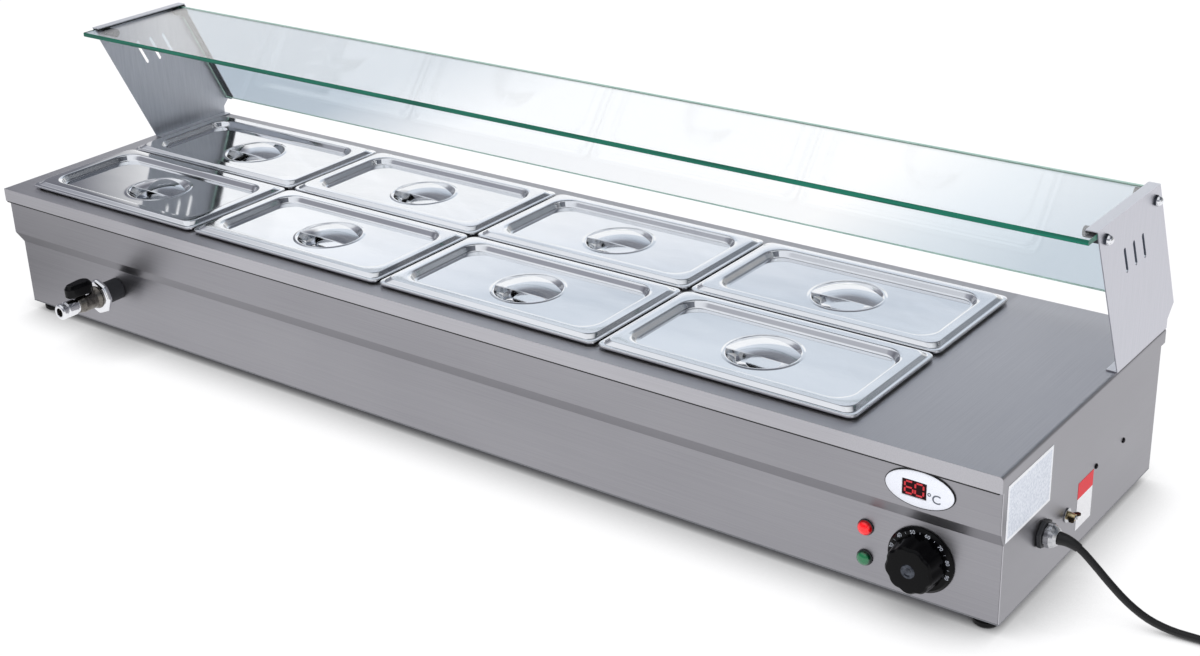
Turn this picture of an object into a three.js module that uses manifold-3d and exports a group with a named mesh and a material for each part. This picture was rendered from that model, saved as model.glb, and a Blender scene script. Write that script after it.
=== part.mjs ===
// Electric bain-marie food warmer for a counter: eight lidded pans hang in one heated water
// bath under a glass guard. Millimetres, +X along the length to the control end, +Y to the
// back, +Z up. The pieces are placed from the deck: x = 0 at its left rim, y = 0 at its front
// rim and z = 0 on its top. At the end the whole warmer is moved so that the origin lies under
// the middle of it, on the surface that it stands on.

import * as THREE from 'three';
import { mergeVertices } from 'three/addons/utils/BufferGeometryUtils.js';
import Module from 'manifold-3d';

// Driving sizes shared by several pieces
const seat = 0.3;             // gap left where two pieces touch
const overrun = 3;            // how far a cutter runs past the piece that it cuts
const steel = 1.2;            // sheet of the housing, tank and guard
const hole = 0.3;             // clearance round a stem in its hole

// Pans, in four columns and two rows
const columns = 4;
const rows = 2;
const panLength = 325;
const panWidth = 177;
const panDepth = 100;
const panSheet = 1;
const panRim = 11;            // width of the flat rim all round
const panLip = 4;             // height of the rim's turned-down edge
const panDraft = 9;           // how far each side leans in from rim to floor
const panCorner = 14;         // plan radius of the rim's corners
const panBodyCorner = 26;     // plan radius of the body's corners
const panFloorRadius = 8;     // bend between the wall and the floor
const columnGap = 6.5;
const rowGap = 7;

// Housing
const leftMargin = 34;
const sideMargin = 25.5;      // deck in front of the pans, and behind them
const controlWidth = 178.5;   // deck to the right of the pans
const bodyHeight = 173;       // deck top to the underside of the base
const rimHeight = 18;
const bandInset = 4;          // front band behind the rim
const bandBottom = 66;        // depth of the band's lower edge
const lowerInset = 11;        // lower panel behind the rim
const lowerTop = 81;          // depth where the chamfer ends
const bendRadius = 4;         // round bend over the control end
const footReturn = 10;        // inward flange at the panels' lower edge

const fieldLength = columns * panLength + (columns - 1) * columnGap;
const fieldWidth = rows * panWidth + (rows - 1) * rowGap;
const bodyLength = leftMargin + fieldLength + controlWidth;
const bodyDepth = fieldWidth + 2 * sideMargin;
const fieldRight = leftMargin + fieldLength;
const fieldBack = sideMargin + fieldWidth;

// Opening in the deck, water tank below it and bars between the pans
const deckHang = 5;           // how far a pan's rim lies on the deck
const tankLedge = 4;          // ledge inside the deck opening that carries the bars
const tankFlange = 14;        // flange under the deck
const tankDepth = 124;
const tankCorner = 12;
const tankFloorRadius = 4;
const wellCorner = 6;
const barWidth = 20;
const longBarWidth = 24;
const barDepth = 16;
const barClearance = 1;

// Lids
const lidSheet = 1;
const lidLip = 4.5;           // flat edge that lies on the pan's rim
const lidOverhang = 1.5;      // lid beyond the pan's rim on each side
const lidShoulder = 4;        // width of the rise to the border
const lidRise = 4;            // border above the flat edge
const lidBorder = 13;
const lidSlope = 8;           // width of the slope down to the panel
const lidRecess = 8;          // border above the sunken panel
const lidCorner = 10;
const lidPanelCorner = 9;
const dishRadius = 39;
const dishDepth = 13;
const dishCollar = 8;         // raised ring round the dish
const dishCollarRise = 1;
const strapWidth = 40;
const strapEndWidth = 20;
const strapRise = 8;
const strapCrown = 2;         // how far the strap's long edges curve down
const strapSheet = 1.2;

// Guard of two slanted plates and two panes of glass
const guardHeight = 190;
const guardTopReach = 226;    // front end of the plate's upper edge, before the deck's back
const guardTopLength = 163;
const guardLean = 78;         // how far the edges slant from top to heel
const guardHeel = 26;         // height of the plate's heel behind the deck
const guardFlange = 13;
const guardFootReach = 138;   // front end of the plate's foot, before the deck's back
const guardInset = 7;         // left plate inside the deck's left rim
const glass = 6;
const glassArris = 0.8;       // chamfer ground on the long edges
const glassOverhang = 18;     // top pane in front of the plates
const seal = 1.4;
const slotCount = 3;
const slotWidth = 5;
const slotLength = 36;
const slotSpacing = 24;
const slotDrop = 59;          // middle of the slots below the upper edge
const slotFront = 56;         // first slot behind the plate's slanted front edge
const boltRadius = 4;
const boltSleeve = 6;         // sleeve round the bolt, under the glass
const boltReach = 22;         // length of the sleeve inside the plate
const boltHead = 6.5;
const boltHeadHeight = 9;
const frontBoltSetback = 23;  // front bolt from the upper edge's front end

// Controls on the front panel, measured from the right end and from the lower panel's middle
const lowerMiddle = (lowerTop + bodyHeight) / 2;
const dialFromEnd = 88;
const dialRise = 2;           // dial above the lower panel's middle
const dialDepth = lowerMiddle - dialRise;
const skirtRadius = 37;
const skirtThickness = 4;
const skirtGap = 1.2;         // running gap between the dial and the panel
const gripRadius = 30;
const gripHeight = 24;
const gripTaper = 3;
const gripLobes = 9;
const gripLobeDepth = 1.6;
const shaftRadius = 3;
const shaftReach = 15;
const capRadius = 8;
const capHeight = 3;
const thermostatRadius = 19;
const thermostatDepth = 26;
const lampFromEnd = 152;
const lampSpacing = 36;       // between the two lamps, one above the other
const lampRise = 1;           // their middle above the lower panel's middle
const redLampDepth = lowerMiddle - lampRise - lampSpacing / 2;
const greenLampDepth = redLampDepth + lampSpacing;
const lampRadius = 9;
const lampHeight = 8;
const lampStem = 5.5;
const lampNut = 8;
const lampLength = 24;
const displayFromEnd = 89;
const displayDepth = 41;
const bezelLength = 76;
const bezelHeight = 40;
const bezelEdge = 1.6;
const bezelCrown = 4;
const windowLength = 27;
const windowHeight = 18;
const windowFromMiddle = 5;   // window left of the bezel's middle
const moduleLength = 56;
const moduleHeight = 25;
const moduleDepth = 22;

// Drain tap at the left of the front panel
const tapFromLeft = 209;
const tapDepth = 109;
const tapPipe = 8;
const tapBore = 6;
const tapSleeve = 15;
const tapSleeveLength = 28;
const tapRing = 25;
const tapRingLength = 9;
const tapBodyRadius = 13;
const tapBodyLength = 34;
const tapNozzleRadius = 11;
const tapNozzleLength = 28;
const tapFlange = 10.5;
const leverWidth = 23;
const leverLength = 30;
const leverThickness = 12;
const leverPost = 6;
const leverPostHeight = 1.2;

// Heating element on the tank floor
const elementRadius = 4;
const elementLift = 9;        // under side of the tube above the tank floor
const elementSpacing = 110;
const elementFarEnd = 120;    // bend of the tube from the tank's left wall
const elementTail = 34;       // tube outside the tank
const elementCollar = 7;
const elementCollarWidth = 4;

// Services on the right end wall
const glandFromFront = 102.5;
const glandDepth = 110.5;
const glandFlangeRadius = 16.5;
const glandFlangeWidth = 5;
const glandStem = 9;
const glandNutRadius = 14;
const glandBodyRadius = 12.5;
const glandBodyLength = 13;
const glandMouth = 6;
const earthFromFront = 165;
const earthDepth = 120;
const earthRadius = 2.5;
const earthReach = 12;
const earthWasher = 8;
const wingSpan = 22;
const wingHub = 4.8;
const wingHeight = 8;
const wingThickness = 2.4;

// Feet
const footRadius = 15;
const footHeight = 13;
const footInset = 30;         // foot centre from the front and back rims
const footFromEnd = 22;
const footStud = 3;
const footNut = 7;

// Air slots in the base, under the controls
const ventCount = 7;
const ventSpacing = 18;
const ventWidth = 6;
const ventLength = 103;

// Mains lead
const leadDiameter = 8;
const coilTurns = 5;
const coilMiddle = 48;        // radius of the middle turn
const coilPitch = 8.8;        // turn to turn and layer to layer
const plugLength = 38;
const plugWidth = 30;
const plugHeight = leadDiameter + 2 * coilPitch;
const bladeLength = 17;
const bladeWidth = 6.5;
const bladeThickness = 1.5;
const bladeSpacing = 12.7;
const earthPinRadius = 2.4;
const earthPinLength = 20;

// Colours and finishes
const finishes = {
  brushedSteel: { color: 0x9a9a9e, roughness: 0.38, metalness: 1 },
  satinSteel: { color: 0xb4b4ba, roughness: 0.45, metalness: 1 },
  mirrorSteel: { color: 0xd8dde0, roughness: 0.14, metalness: 1 },
  tankSteel: { color: 0x8c8e92, roughness: 0.4, metalness: 1 },
  glass: { color: 0xd6efe6, roughness: 0.03, metalness: 0, transparent: true, opacity: 0.35 },
  blackRubber: { color: 0x151515, roughness: 0.8, metalness: 0 },
  blackPlastic: { color: 0x0d0d0e, roughness: 0.25, metalness: 0 },
  chrome: { color: 0xe2e4e6, roughness: 0.08, metalness: 1 },
  brass: { color: 0xc9b27a, roughness: 0.3, metalness: 1 },
  paleMetal: { color: 0xc8cbd0, roughness: 0.3, metalness: 1 },
  darkPlastic: { color: 0x2c2d31, roughness: 0.5, metalness: 0 },
  whitePlastic: { color: 0xe4e6ec, roughness: 0.35, metalness: 0 },
  redLens: { color: 0xd2161c, roughness: 0.15, metalness: 0 },
  greenLens: { color: 0x1b6b43, roughness: 0.15, metalness: 0 },
  redWindow: { color: 0x6e1016, roughness: 0.12, metalness: 0 },
  elementSheath: { color: 0x5c5a58, roughness: 0.5, metalness: 1 },
};

const wasm = await Module();
wasm.setup();

// Solids, joins and cuts

// Coordinates are rounded to a fine grid, so that faces meant to lie in one plane do
const gridShare = 1 / 1024;

function solidOf(geometry) {
  const bare = geometry.clone();
  bare.deleteAttribute('normal');
  bare.deleteAttribute('uv');
  const places = bare.attributes.position.array;
  for (let i = 0; i < places.length; i += 1) places[i] = Math.round(places[i] / gridShare) * gridShare;
  const merged = mergeVertices(bare);
  const index = merged.index.array;
  const triangles = [];
  for (let i = 0; i < index.length; i += 3) {
    const [a, b, c] = [index[i], index[i + 1], index[i + 2]];
    if (a !== b && b !== c && c !== a) triangles.push(a, b, c);
  }
  const mesh = new wasm.Mesh({
    numProp: 3,
    vertProperties: new Float32Array(merged.attributes.position.array),
    triVerts: new Uint32Array(triangles),
  });
  return new wasm.Manifold(mesh);
}

function geometryOf(solid) {
  const mesh = solid.getMesh();
  const geometry = new THREE.BufferGeometry();
  geometry.setAttribute('position', new THREE.BufferAttribute(mesh.vertProperties, 3));
  geometry.setIndex(new THREE.BufferAttribute(mesh.triVerts, 1));
  geometry.computeVertexNormals();
  return geometry;
}

function join(...solids) {
  return solids.reduce((sum, solid) => sum.add(solid));
}

function cut(solid, ...cutters) {
  return cutters.reduce((rest, cutter) => rest.subtract(cutter), solid);
}

const axisX = new THREE.Vector3(1, 0, 0);
const axisY = new THREE.Vector3(0, 1, 0);
const axisZ = new THREE.Vector3(0, 0, 1);
const turns = {
  x: new THREE.Matrix4().makeBasis(axisY, axisZ, axisX),
  y: new THREE.Matrix4().makeBasis(axisZ, axisX, axisY),
  z: new THREE.Matrix4(),
};

// A prism along an axis: the outline is in (y, z) along x, in (x, z) along y, in (x, y) along z
function prism(axis, outline, from, to) {
  const flat = outline.map(([u, v]) => (axis === 'y' ? new THREE.Vector2(v, u) : new THREE.Vector2(u, v)));
  const options = { depth: to - from, bevelEnabled: false, steps: 1 };
  const geometry = new THREE.ExtrudeGeometry(new THREE.Shape(flat), options);
  geometry.translate(0, 0, from);
  geometry.applyMatrix4(turns[axis]);
  return solidOf(geometry);
}

function block(x0, x1, y0, y1, z0, z1) {
  const geometry = new THREE.BoxGeometry(x1 - x0, y1 - y0, z1 - z0);
  geometry.translate((x0 + x1) / 2, (y0 + y1) / 2, (z0 + z1) / 2);
  return solidOf(geometry);
}

// A turned piece: the profile lists (radius, distance along the axis), from axis to axis
function turnedGeometry(axis, profile, segments, centre = [0, 0, 0]) {
  const points = profile.map(([radius, along]) => new THREE.Vector2(radius, along));
  const geometry = new THREE.LatheGeometry(points, segments);
  geometry.rotateX(Math.PI / 2);
  geometry.applyMatrix4(turns[axis]);
  geometry.translate(...centre);
  return geometry;
}

function turned(axis, profile, segments, centre) {
  return solidOf(turnedGeometry(axis, profile, segments, centre));
}

function rod(axis, radius, from, to, segments, centre) {
  return turned(axis, [[0, from], [radius, from], [radius, to], [0, to]], segments, centre);
}

function along(points, count, position) {
  return Array.from({ length: count }, (_, step) => position(step / points));
}

function arc(cx, cy, radius, start, end, steps) {
  return along(steps, steps + 1, (share) => {
    const angle = start + (end - start) * share;
    return [cx + radius * Math.cos(angle), cy + radius * Math.sin(angle)];
  });
}

// The path moved to its left by a distance, with mitred corners
function offsetPath(path, distance) {
  return path.map(([x, y], i) => {
    const sides = [];
    if (i > 0) sides.push([path[i - 1], path[i]]);
    if (i < path.length - 1) sides.push([path[i], path[i + 1]]);
    const normals = sides.map(([[ax, ay], [bx, by]]) => {
      const length = Math.hypot(bx - ax, by - ay);
      return [-(by - ay) / length, (bx - ax) / length];
    });
    const [n, m] = [normals[0], normals[normals.length - 1]];
    const stretch = distance / (1 + n[0] * m[0] + n[1] * m[1]);
    return [x + (n[0] + m[0]) * stretch, y + (n[1] + m[1]) * stretch];
  });
}

// Sheet metal bent along a path, seen end on; the sheet lies to the left of the path
function bentSheet(axis, path, thickness, from, to) {
  return prism(axis, [...path, ...offsetPath(path, thickness).reverse()], from, to);
}

function roundedOutline(x0, x1, y0, y1, radius, steps) {
  const r = Math.min(radius, (x1 - x0) / 2, (y1 - y0) / 2);
  const quarter = Math.PI / 2;
  return [
    ...arc(x1 - r, y0 + r, r, -quarter, 0, steps),
    ...arc(x1 - r, y1 - r, r, 0, quarter, steps),
    ...arc(x0 + r, y1 - r, r, quarter, 2 * quarter, steps),
    ...arc(x0 + r, y0 + r, r, 2 * quarter, 3 * quarter, steps),
  ];
}

// A skin over closed rings of equally many points, capped at the first and the last ring
function skin(rings) {
  const count = rings[0].length;
  const middle = (ring) => ring.reduce((sum, p) => sum.add(p), new THREE.Vector3()).divideScalar(count);
  const points = [...rings.flat(), middle(rings[0]), middle(rings[rings.length - 1])];
  const first = points.length - 2;
  const last = points.length - 1;
  const index = [];
  for (let side = 0; side < count; side += 1) {
    const next = (side + 1) % count;
    index.push(first, next, side);
    const top = (rings.length - 1) * count;
    index.push(last, top + side, top + next);
    for (let ring = 0; ring < rings.length - 1; ring += 1) {
      const low = ring * count;
      const high = low + count;
      index.push(low + side, low + next, high + next);
      index.push(low + side, high + next, high + side);
    }
  }
  const geometry = new THREE.BufferGeometry().setFromPoints(points);
  geometry.setIndex(index);
  return solidOf(geometry);
}

// A ring of a pressed tray: a rounded rectangle drawn in from the full outline by an inset
function trayRing(length, width, inset, height, radius, steps) {
  const halfLength = length / 2 - inset;
  const halfWidth = width / 2 - inset;
  return roundedOutline(-halfLength, halfLength, -halfWidth, halfWidth, radius, steps)
    .map(([x, y]) => new THREE.Vector3(x, y, height));
}

// Assembly

const warmer = new THREE.Group();

function addPiece(name, finish, geometry, position = [0, 0, 0], parent = warmer) {
  const mesh = new THREE.Mesh(geometry, new THREE.MeshStandardMaterial(finishes[finish]));
  mesh.name = name;
  mesh.position.set(...position);
  parent.add(mesh);
  return mesh;
}

const wallFoot = -bodyHeight + steel + seat;

// Outline of the front and left walls seen end on, from under the deck to the base
function wallPath() {
  return [
    [bandInset, -steel - seat],
    [bandInset, -bandBottom],
    [lowerInset, -lowerTop],
    [lowerInset, wallFoot],
    [lowerInset + footReturn, wallFoot],
  ];
}

const wellLeft = leftMargin + deckHang;
const wellRight = fieldRight - deckHang;
const wellFront = sideMargin + deckHang;
const wellBack = fieldBack - deckHang;
const dialX = bodyLength - dialFromEnd;
const lampX = bodyLength - lampFromEnd;
const displayX = bodyLength - displayFromEnd;
const innerEnd = bodyLength - steel - seat;

// The deck is a shallow box open below, its rims turned in at the foot, with one end wall let down
function addDeck() {
  const bend = (inset) => arc(bodyLength - bendRadius, -bendRadius, bendRadius - inset, 0, Math.PI / 2, 4);
  const outer = prism('y', [[0, 0], [0, -rimHeight], [bodyLength, -rimHeight], ...bend(0)], 0, bodyDepth);
  const lipTop = -rimHeight + steel;
  const hollow = prism('y', [
    [steel, -steel], [steel, lipTop], [bodyLength - steel, lipTop], ...bend(steel),
  ], steel, bodyDepth - steel);
  const lipInset = bandInset - seat;
  const mouth = block(lipInset, bodyLength - steel, lipInset, bodyDepth - lowerInset + seat,
    -rimHeight - overrun, lipTop + steel);
  const wall = prism('x', [
    [bandInset, -rimHeight], [bandInset, -bandBottom], [lowerInset, -lowerTop], [lowerInset, wallFoot],
    [bodyDepth - lowerInset, wallFoot], [bodyDepth - lowerInset, -rimHeight],
  ], bodyLength - steel, bodyLength);
  const well = prism('z', roundedOutline(wellLeft, wellRight, wellFront, wellBack, wellCorner, 3),
    -steel - overrun, overrun);
  const glandHole = rod('x', glandStem + hole, bodyLength - steel - overrun, bodyLength + overrun, 16,
    [0, glandFromFront, -glandDepth]);
  const earthHole = rod('x', earthRadius + hole, bodyLength - steel - overrun, bodyLength + overrun, 10,
    [0, earthFromFront, -earthDepth]);
  addPiece('deck', 'brushedSteel',
    geometryOf(cut(join(cut(outer, hollow, mouth), wall), well, glandHole, earthHole)));
}

const panelFace = lowerInset;                     // outer face of the lower front panel
const panelBack = panelFace + steel;

function addWalls() {
  const front = bentSheet('x', wallPath(), steel, 0, innerEnd);
  const corner = lowerInset + footReturn + overrun;
  const mitre = seat * Math.SQRT1_2;
  const frontMitre = prism('z', [
    [-overrun + mitre, -overrun], [corner + mitre, corner], [-overrun, corner],
  ], -bodyHeight, overrun);
  const leftMitre = prism('z', [
    [-overrun, -overrun + mitre], [-overrun, -overrun * 2], [corner, -overrun * 2], [corner, corner + mitre],
  ], -bodyHeight, overrun);
  const holeFrom = -overrun;
  const holeTo = corner;
  const displayOpening = block(
    displayX - moduleLength / 2 - hole, displayX + moduleLength / 2 + hole, holeFrom, holeTo,
    -displayDepth - moduleHeight / 2 - hole, -displayDepth + moduleHeight / 2 + hole);
  const round = (x, z, radius, steps) => rod('y', radius + hole, holeFrom, holeTo, steps, [x, 0, z]);
  const underBend = block(bodyLength - bendRadius - seat, bodyLength, holeFrom, bodyDepth,
    -bendRadius - seat, overrun);
  const frontCut = cut(front, frontMitre, displayOpening, underBend,
    round(dialX, -dialDepth, shaftRadius, 10),
    round(lampX, -redLampDepth, lampStem, 12),
    round(lampX, -greenLampDepth, lampStem, 12),
    round(tapFromLeft, -tapDepth, tapPipe, 16));
  addPiece('front_panel', 'brushedSteel', geometryOf(frontCut));

  const leftEnd = bodyDepth - lowerInset - steel - seat;
  const left = bentSheet('y', wallPath(), steel, 0, leftEnd);
  addPiece('left_panel', 'brushedSteel', geometryOf(cut(left, leftMitre)));

  const backOutline = [
    [bandInset, -steel - seat], [bandInset, -bandBottom], [lowerInset, -lowerTop],
    [lowerInset, wallFoot], [innerEnd, wallFoot], [innerEnd, -steel - seat],
  ];
  const backFace = bodyDepth - lowerInset;
  const back = prism('y', backOutline, backFace - steel, backFace);
  addPiece('back_panel', 'brushedSteel', geometryOf(cut(back, underBend)));
}

const footPlaces = [
  [lowerInset + footFromEnd, footInset],
  [bodyLength - footFromEnd, footInset],
  [lowerInset + footFromEnd, bodyDepth - footInset],
  [bodyLength - footFromEnd, bodyDepth - footInset],
];

function addBase() {
  const plate = block(lowerInset, bodyLength, lowerInset, bodyDepth - lowerInset, -bodyHeight, -bodyHeight + steel);
  const studHoles = footPlaces.map(([x, y]) => rod('z', footStud + hole, -bodyHeight - overrun,
    -bodyHeight + steel + overrun, 10, [x, y, 0]));
  const vents = along(ventCount - 1, ventCount, (share) => {
    const middle = bodyLength - controlWidth / 2 + (share - 1 / 2) * ventSpacing * (ventCount - 1);
    return block(middle - ventWidth / 2, middle + ventWidth / 2, (bodyDepth - ventLength) / 2,
      (bodyDepth + ventLength) / 2, -bodyHeight - overrun, -bodyHeight + steel + overrun);
  });
  addPiece('base_plate', 'tankSteel', geometryOf(cut(plate, ...studHoles, ...vents)));

  const top = -bodyHeight - seat;
  const bottom = -bodyHeight - footHeight;
  const nutBottom = -bodyHeight + steel + seat;
  const edge = footHeight / 5;
  const profile = [
    [0, bottom], [footRadius - edge, bottom], [footRadius, bottom + edge], [footRadius, top],
    [footStud, top], [footStud, nutBottom], [footNut, nutBottom],
    [footNut, nutBottom + footStud], [0, nutBottom + footStud],
  ];
  const names = ['foot_front_left', 'foot_front_right', 'foot_back_left', 'foot_back_right'];
  footPlaces.forEach(([x, y], i) => {
    addPiece(names[i], 'blackRubber', geometryOf(turned('z', profile, 10)), [x, y, 0]);
  });
}

// Tank wall and ledge, drawn in from the deck opening
const tankWallInner = {
  x0: wellLeft + tankLedge, x1: wellRight - tankLedge, y0: wellFront + tankLedge, y1: wellBack - tankLedge,
};

function addTank() {
  const length = tankWallInner.x1 - tankWallInner.x0;
  const width = tankWallInner.y1 - tankWallInner.y0;
  const centre = [(tankWallInner.x0 + tankWallInner.x1) / 2, (tankWallInner.y0 + tankWallInner.y1) / 2, 0];
  const under = -steel - seat;
  const floor = -tankDepth;
  const flangeOut = -tankLedge - tankFlange;
  const steps = 3;
  const ring = (inset, height, radius) => trayRing(length, width, inset, height, radius, steps);
  const round = tankFloorRadius;
  const tub = skin([
    ring(round, floor - steel, tankCorner),
    ring(-steel, floor - steel + round, tankCorner + steel),
    ring(-steel, under - steel, tankCorner + steel),
    ring(flangeOut, under - steel, tankCorner + steel),
    ring(flangeOut, under, tankCorner + steel),
    ring(0, under, tankCorner),
    ring(0, floor + round, tankCorner),
    ring(round, floor, tankCorner),
  ]);
  const yFront = tankWallInner.y0 - centre[1];
  const tapHole = rod('y', tapPipe + hole, yFront - steel - overrun, yFront + overrun, 16,
    [tapFromLeft - centre[0], 0, -tapDepth]);
  const xRight = tankWallInner.x1 - centre[0];
  const elementHoles = [-1, 1].map((side) => rod('x', elementRadius + hole, xRight - overrun,
    xRight + steel + overrun, 12, [0, side * elementSpacing / 2, elementHeight]));
  addPiece('water_tank', 'tankSteel', geometryOf(cut(tub, tapHole, ...elementHoles)), centre);
}

const elementHeight = -tankDepth + elementLift + elementRadius;

// A level half circle, for bends in the horizontal plane
class HalfCircle extends THREE.Curve {
  constructor(centre, radius) {
    super();
    this.centre = centre;
    this.radius = radius;
  }

  getPoint(share, target = new THREE.Vector3()) {
    const angle = -Math.PI / 2 - share * Math.PI;
    const [x, y, z] = this.centre;
    return target.set(x + this.radius * Math.cos(angle), y + this.radius * Math.sin(angle), z);
  }
}

function roundSection(radius, sides) {
  return new THREE.Shape(along(sides, sides, (share) => {
    const angle = share * Math.PI * 2;
    return new THREE.Vector2(radius * Math.cos(angle), radius * Math.sin(angle));
  }));
}

function sweep(section, path, steps) {
  return solidOf(new THREE.ExtrudeGeometry(section, { steps, bevelEnabled: false, extrudePath: path }));
}

// Hairpin tube along the tank floor, with a collar inside and outside the tank's end wall
function addElement() {
  const sides = 10;
  const centreY = (tankWallInner.y0 + tankWallInner.y1) / 2;
  const half = elementSpacing / 2;
  const bendX = tankWallInner.x0 + elementFarEnd + half;
  const tipX = tankWallInner.x1 + steel + elementTail;
  const bend = sweep(roundSection(elementRadius, sides), new HalfCircle([bendX, centreY, elementHeight], half), 12);
  const legs = [-1, 1].flatMap((side) => {
    const centre = [0, centreY + side * half, elementHeight];
    const inside = tankWallInner.x1 - seat;
    const outside = tankWallInner.x1 + steel + seat;
    return [
      rod('x', elementRadius, bendX - elementRadius / 8, tipX, sides, centre),
      rod('x', elementCollar, inside - elementCollarWidth, inside, 6, centre),
      rod('x', elementCollar, outside, outside + elementCollarWidth, 6, centre),
    ];
  });
  addPiece('heating_element', 'elementSheath', geometryOf(join(bend, ...legs)));
}

// Bars between the pans: channels open below, halved into each other where they cross
function addBars() {
  const channel = (axis, middle, width, from, to) => {
    const half = width / 2;
    return bentSheet(axis, [
      [middle + half, -barDepth], [middle + half, 0], [middle - half, 0], [middle - half, -barDepth],
    ], steel, from, to);
  };
  const halfDepth = barDepth / 2;
  const rowMiddle = (sideMargin + fieldBack) / 2;
  const crossings = along(columns, columns - 1, (share) => share)
    .map((share) => leftMargin + (share + 1 / columns) * (fieldLength + columnGap) - columnGap / 2);
  const legEnd = tankLedge + barClearance;
  const shorten = (x0, x1, y0, y1) => block(x0, x1, y0, y1, -barDepth - overrun, -steel);

  const longFrom = wellLeft + seat;
  const longTo = wellRight - seat;
  const longHalf = longBarWidth / 2 + overrun;
  const longBar = cut(channel('x', rowMiddle, longBarWidth, longFrom, longTo),
    shorten(longFrom - overrun, wellLeft + legEnd, rowMiddle - longHalf, rowMiddle + longHalf),
    shorten(wellRight - legEnd, longTo + overrun, rowMiddle - longHalf, rowMiddle + longHalf),
    ...crossings.map((x) => block(x - barWidth / 2 - seat, x + barWidth / 2 + seat,
      rowMiddle - longHalf, rowMiddle + longHalf, -halfDepth, overrun)));
  addPiece('long_divider', 'satinSteel', geometryOf(longBar));

  const crossFrom = wellFront + seat;
  const crossTo = wellBack - seat;
  crossings.forEach((x, i) => {
    const reach = barWidth / 2 + overrun;
    const bar = cut(channel('y', 0, barWidth, crossFrom, crossTo),
      shorten(-reach, reach, crossFrom - overrun, wellFront + legEnd),
      shorten(-reach, reach, wellBack - legEnd, crossTo + overrun),
      block(-reach, reach, rowMiddle - longBarWidth / 2 - seat, rowMiddle + longBarWidth / 2 + seat,
        -barDepth - overrun, -halfDepth + seat));
    addPiece(`cross_divider_${i + 1}`, 'satinSteel', geometryOf(bar), [x, 0, 0]);
  });
}

function panSolid() {
  const steps = 3;
  const ring = (inset, height, radius) => trayRing(panLength, panWidth, inset, height, radius, steps);
  const floor = panLip - panDepth;
  const inner = panRim + panSheet;
  const low = panRim + panDraft;
  return skin([
    ring(low + panFloorRadius, floor, panBodyCorner - panFloorRadius),
    ring(low, floor + panFloorRadius, panBodyCorner),
    ring(panRim, panLip - panSheet, panBodyCorner),
    ring(panSheet, panLip - panSheet, panCorner - panSheet),
    ring(panSheet, 0, panCorner - panSheet),
    ring(0, 0, panCorner),
    ring(0, panLip, panCorner),
    ring(inner, panLip, panBodyCorner - panSheet),
    ring(low + panSheet, floor + panFloorRadius, panBodyCorner - panSheet),
    ring(low + panFloorRadius, floor + panSheet, panBodyCorner - panFloorRadius),
  ]);
}

// Lid seen end on, from its edge to the sunken panel: inset from the edge, height of the top face
const lidBorderTop = lidSheet + lidRise;
const lidPanelTop = lidBorderTop - lidRecess;
const lidBorderEnd = lidLip + lidShoulder + lidBorder;
const lidSection = [
  [0, lidSheet],
  [lidLip, lidSheet],
  [lidLip + lidShoulder, lidBorderTop],
  [lidBorderEnd, lidBorderTop],
  [lidBorderEnd + lidSlope, lidPanelTop],
];

// Round dish in the middle of the lid: radius, height of the top face
const dishSection = [
  [dishRadius + dishCollar, lidPanelTop],
  [dishRadius + dishCollar / 2, lidPanelTop + dishCollarRise],
  [dishRadius, lidPanelTop - dishDepth / 6],
  [dishRadius * 4 / 5, lidPanelTop - dishDepth * 3 / 4],
  [dishRadius / 2, lidPanelTop - dishDepth],
];

// Lens-shaped strap over the dish, crowned both ways
function strapSolid() {
  const reach = dishRadius + dishCollar * 3 / 4;
  const seatHeight = lidPanelTop - lidSheet / 2;
  const alongSteps = 6;
  const rings = along(alongSteps, alongSteps + 1, (share) => {
    const t = share * 2 - 1;
    const half = (strapEndWidth + (strapWidth - strapEndWidth) * (1 - t * t)) / 2;
    const crest = seatHeight + (strapRise + lidSheet) * (1 - t * t);
    const drop = strapCrown * (1 - t * t);
    const x = t * reach;
    return [
      new THREE.Vector3(x, -half, crest - drop),
      new THREE.Vector3(x, 0, crest),
      new THREE.Vector3(x, half, crest - drop),
      new THREE.Vector3(x, half, crest - drop - strapSheet),
      new THREE.Vector3(x, 0, crest - strapSheet),
      new THREE.Vector3(x, -half, crest - drop - strapSheet),
    ].reverse();
  });
  return skin(rings);
}

function lidSolid() {
  const steps = 3;
  const lidLength = panLength + lidOverhang * 2;
  const lidWidth = panWidth + lidOverhang * 2;
  const trayRings = (section) => section.map(([inset, height]) => trayRing(lidLength, lidWidth, inset,
    height, Math.max(lidCorner - inset, lidPanelCorner), steps));
  const sides = 4 * (steps + 1);
  const start = -Math.PI / 2 + Math.PI / sides;
  const dishRings = (section) => section.map(([radius, height]) => along(sides, sides, (share) => {
    const angle = start + share * Math.PI * 2;
    return new THREE.Vector3(radius * Math.cos(angle), radius * Math.sin(angle), height);
  }));
  const underTray = offsetPath(lidSection, -lidSheet);
  underTray[0] = [0, 0];
  const underDish = offsetPath(dishSection, lidSheet);
  const sheet = skin([
    ...dishRings(underDish).reverse(), ...trayRings(underTray).reverse(),
    ...trayRings(lidSection), ...dishRings(dishSection),
  ]);
  return join(sheet, strapSolid());
}

// Pans and lids are numbered from the left, first the front row and then the back row
function addPansAndLids() {
  const panGeometry = geometryOf(panSolid());
  const lidGeometry = geometryOf(lidSolid());
  for (let row = 0; row < rows; row += 1) {
    for (let column = 0; column < columns; column += 1) {
      const number = row * columns + column + 1;
      const x = leftMargin + panLength / 2 + column * (panLength + columnGap);
      const y = sideMargin + panWidth / 2 + row * (panWidth + rowGap);
      addPiece(`pan_${number}`, 'mirrorSteel', panGeometry, [x, y, seat]);
      addPiece(`lid_${number}`, 'mirrorSteel', lidGeometry, [x, y, seat * 2 + panLip]);
    }
  }
}

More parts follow.
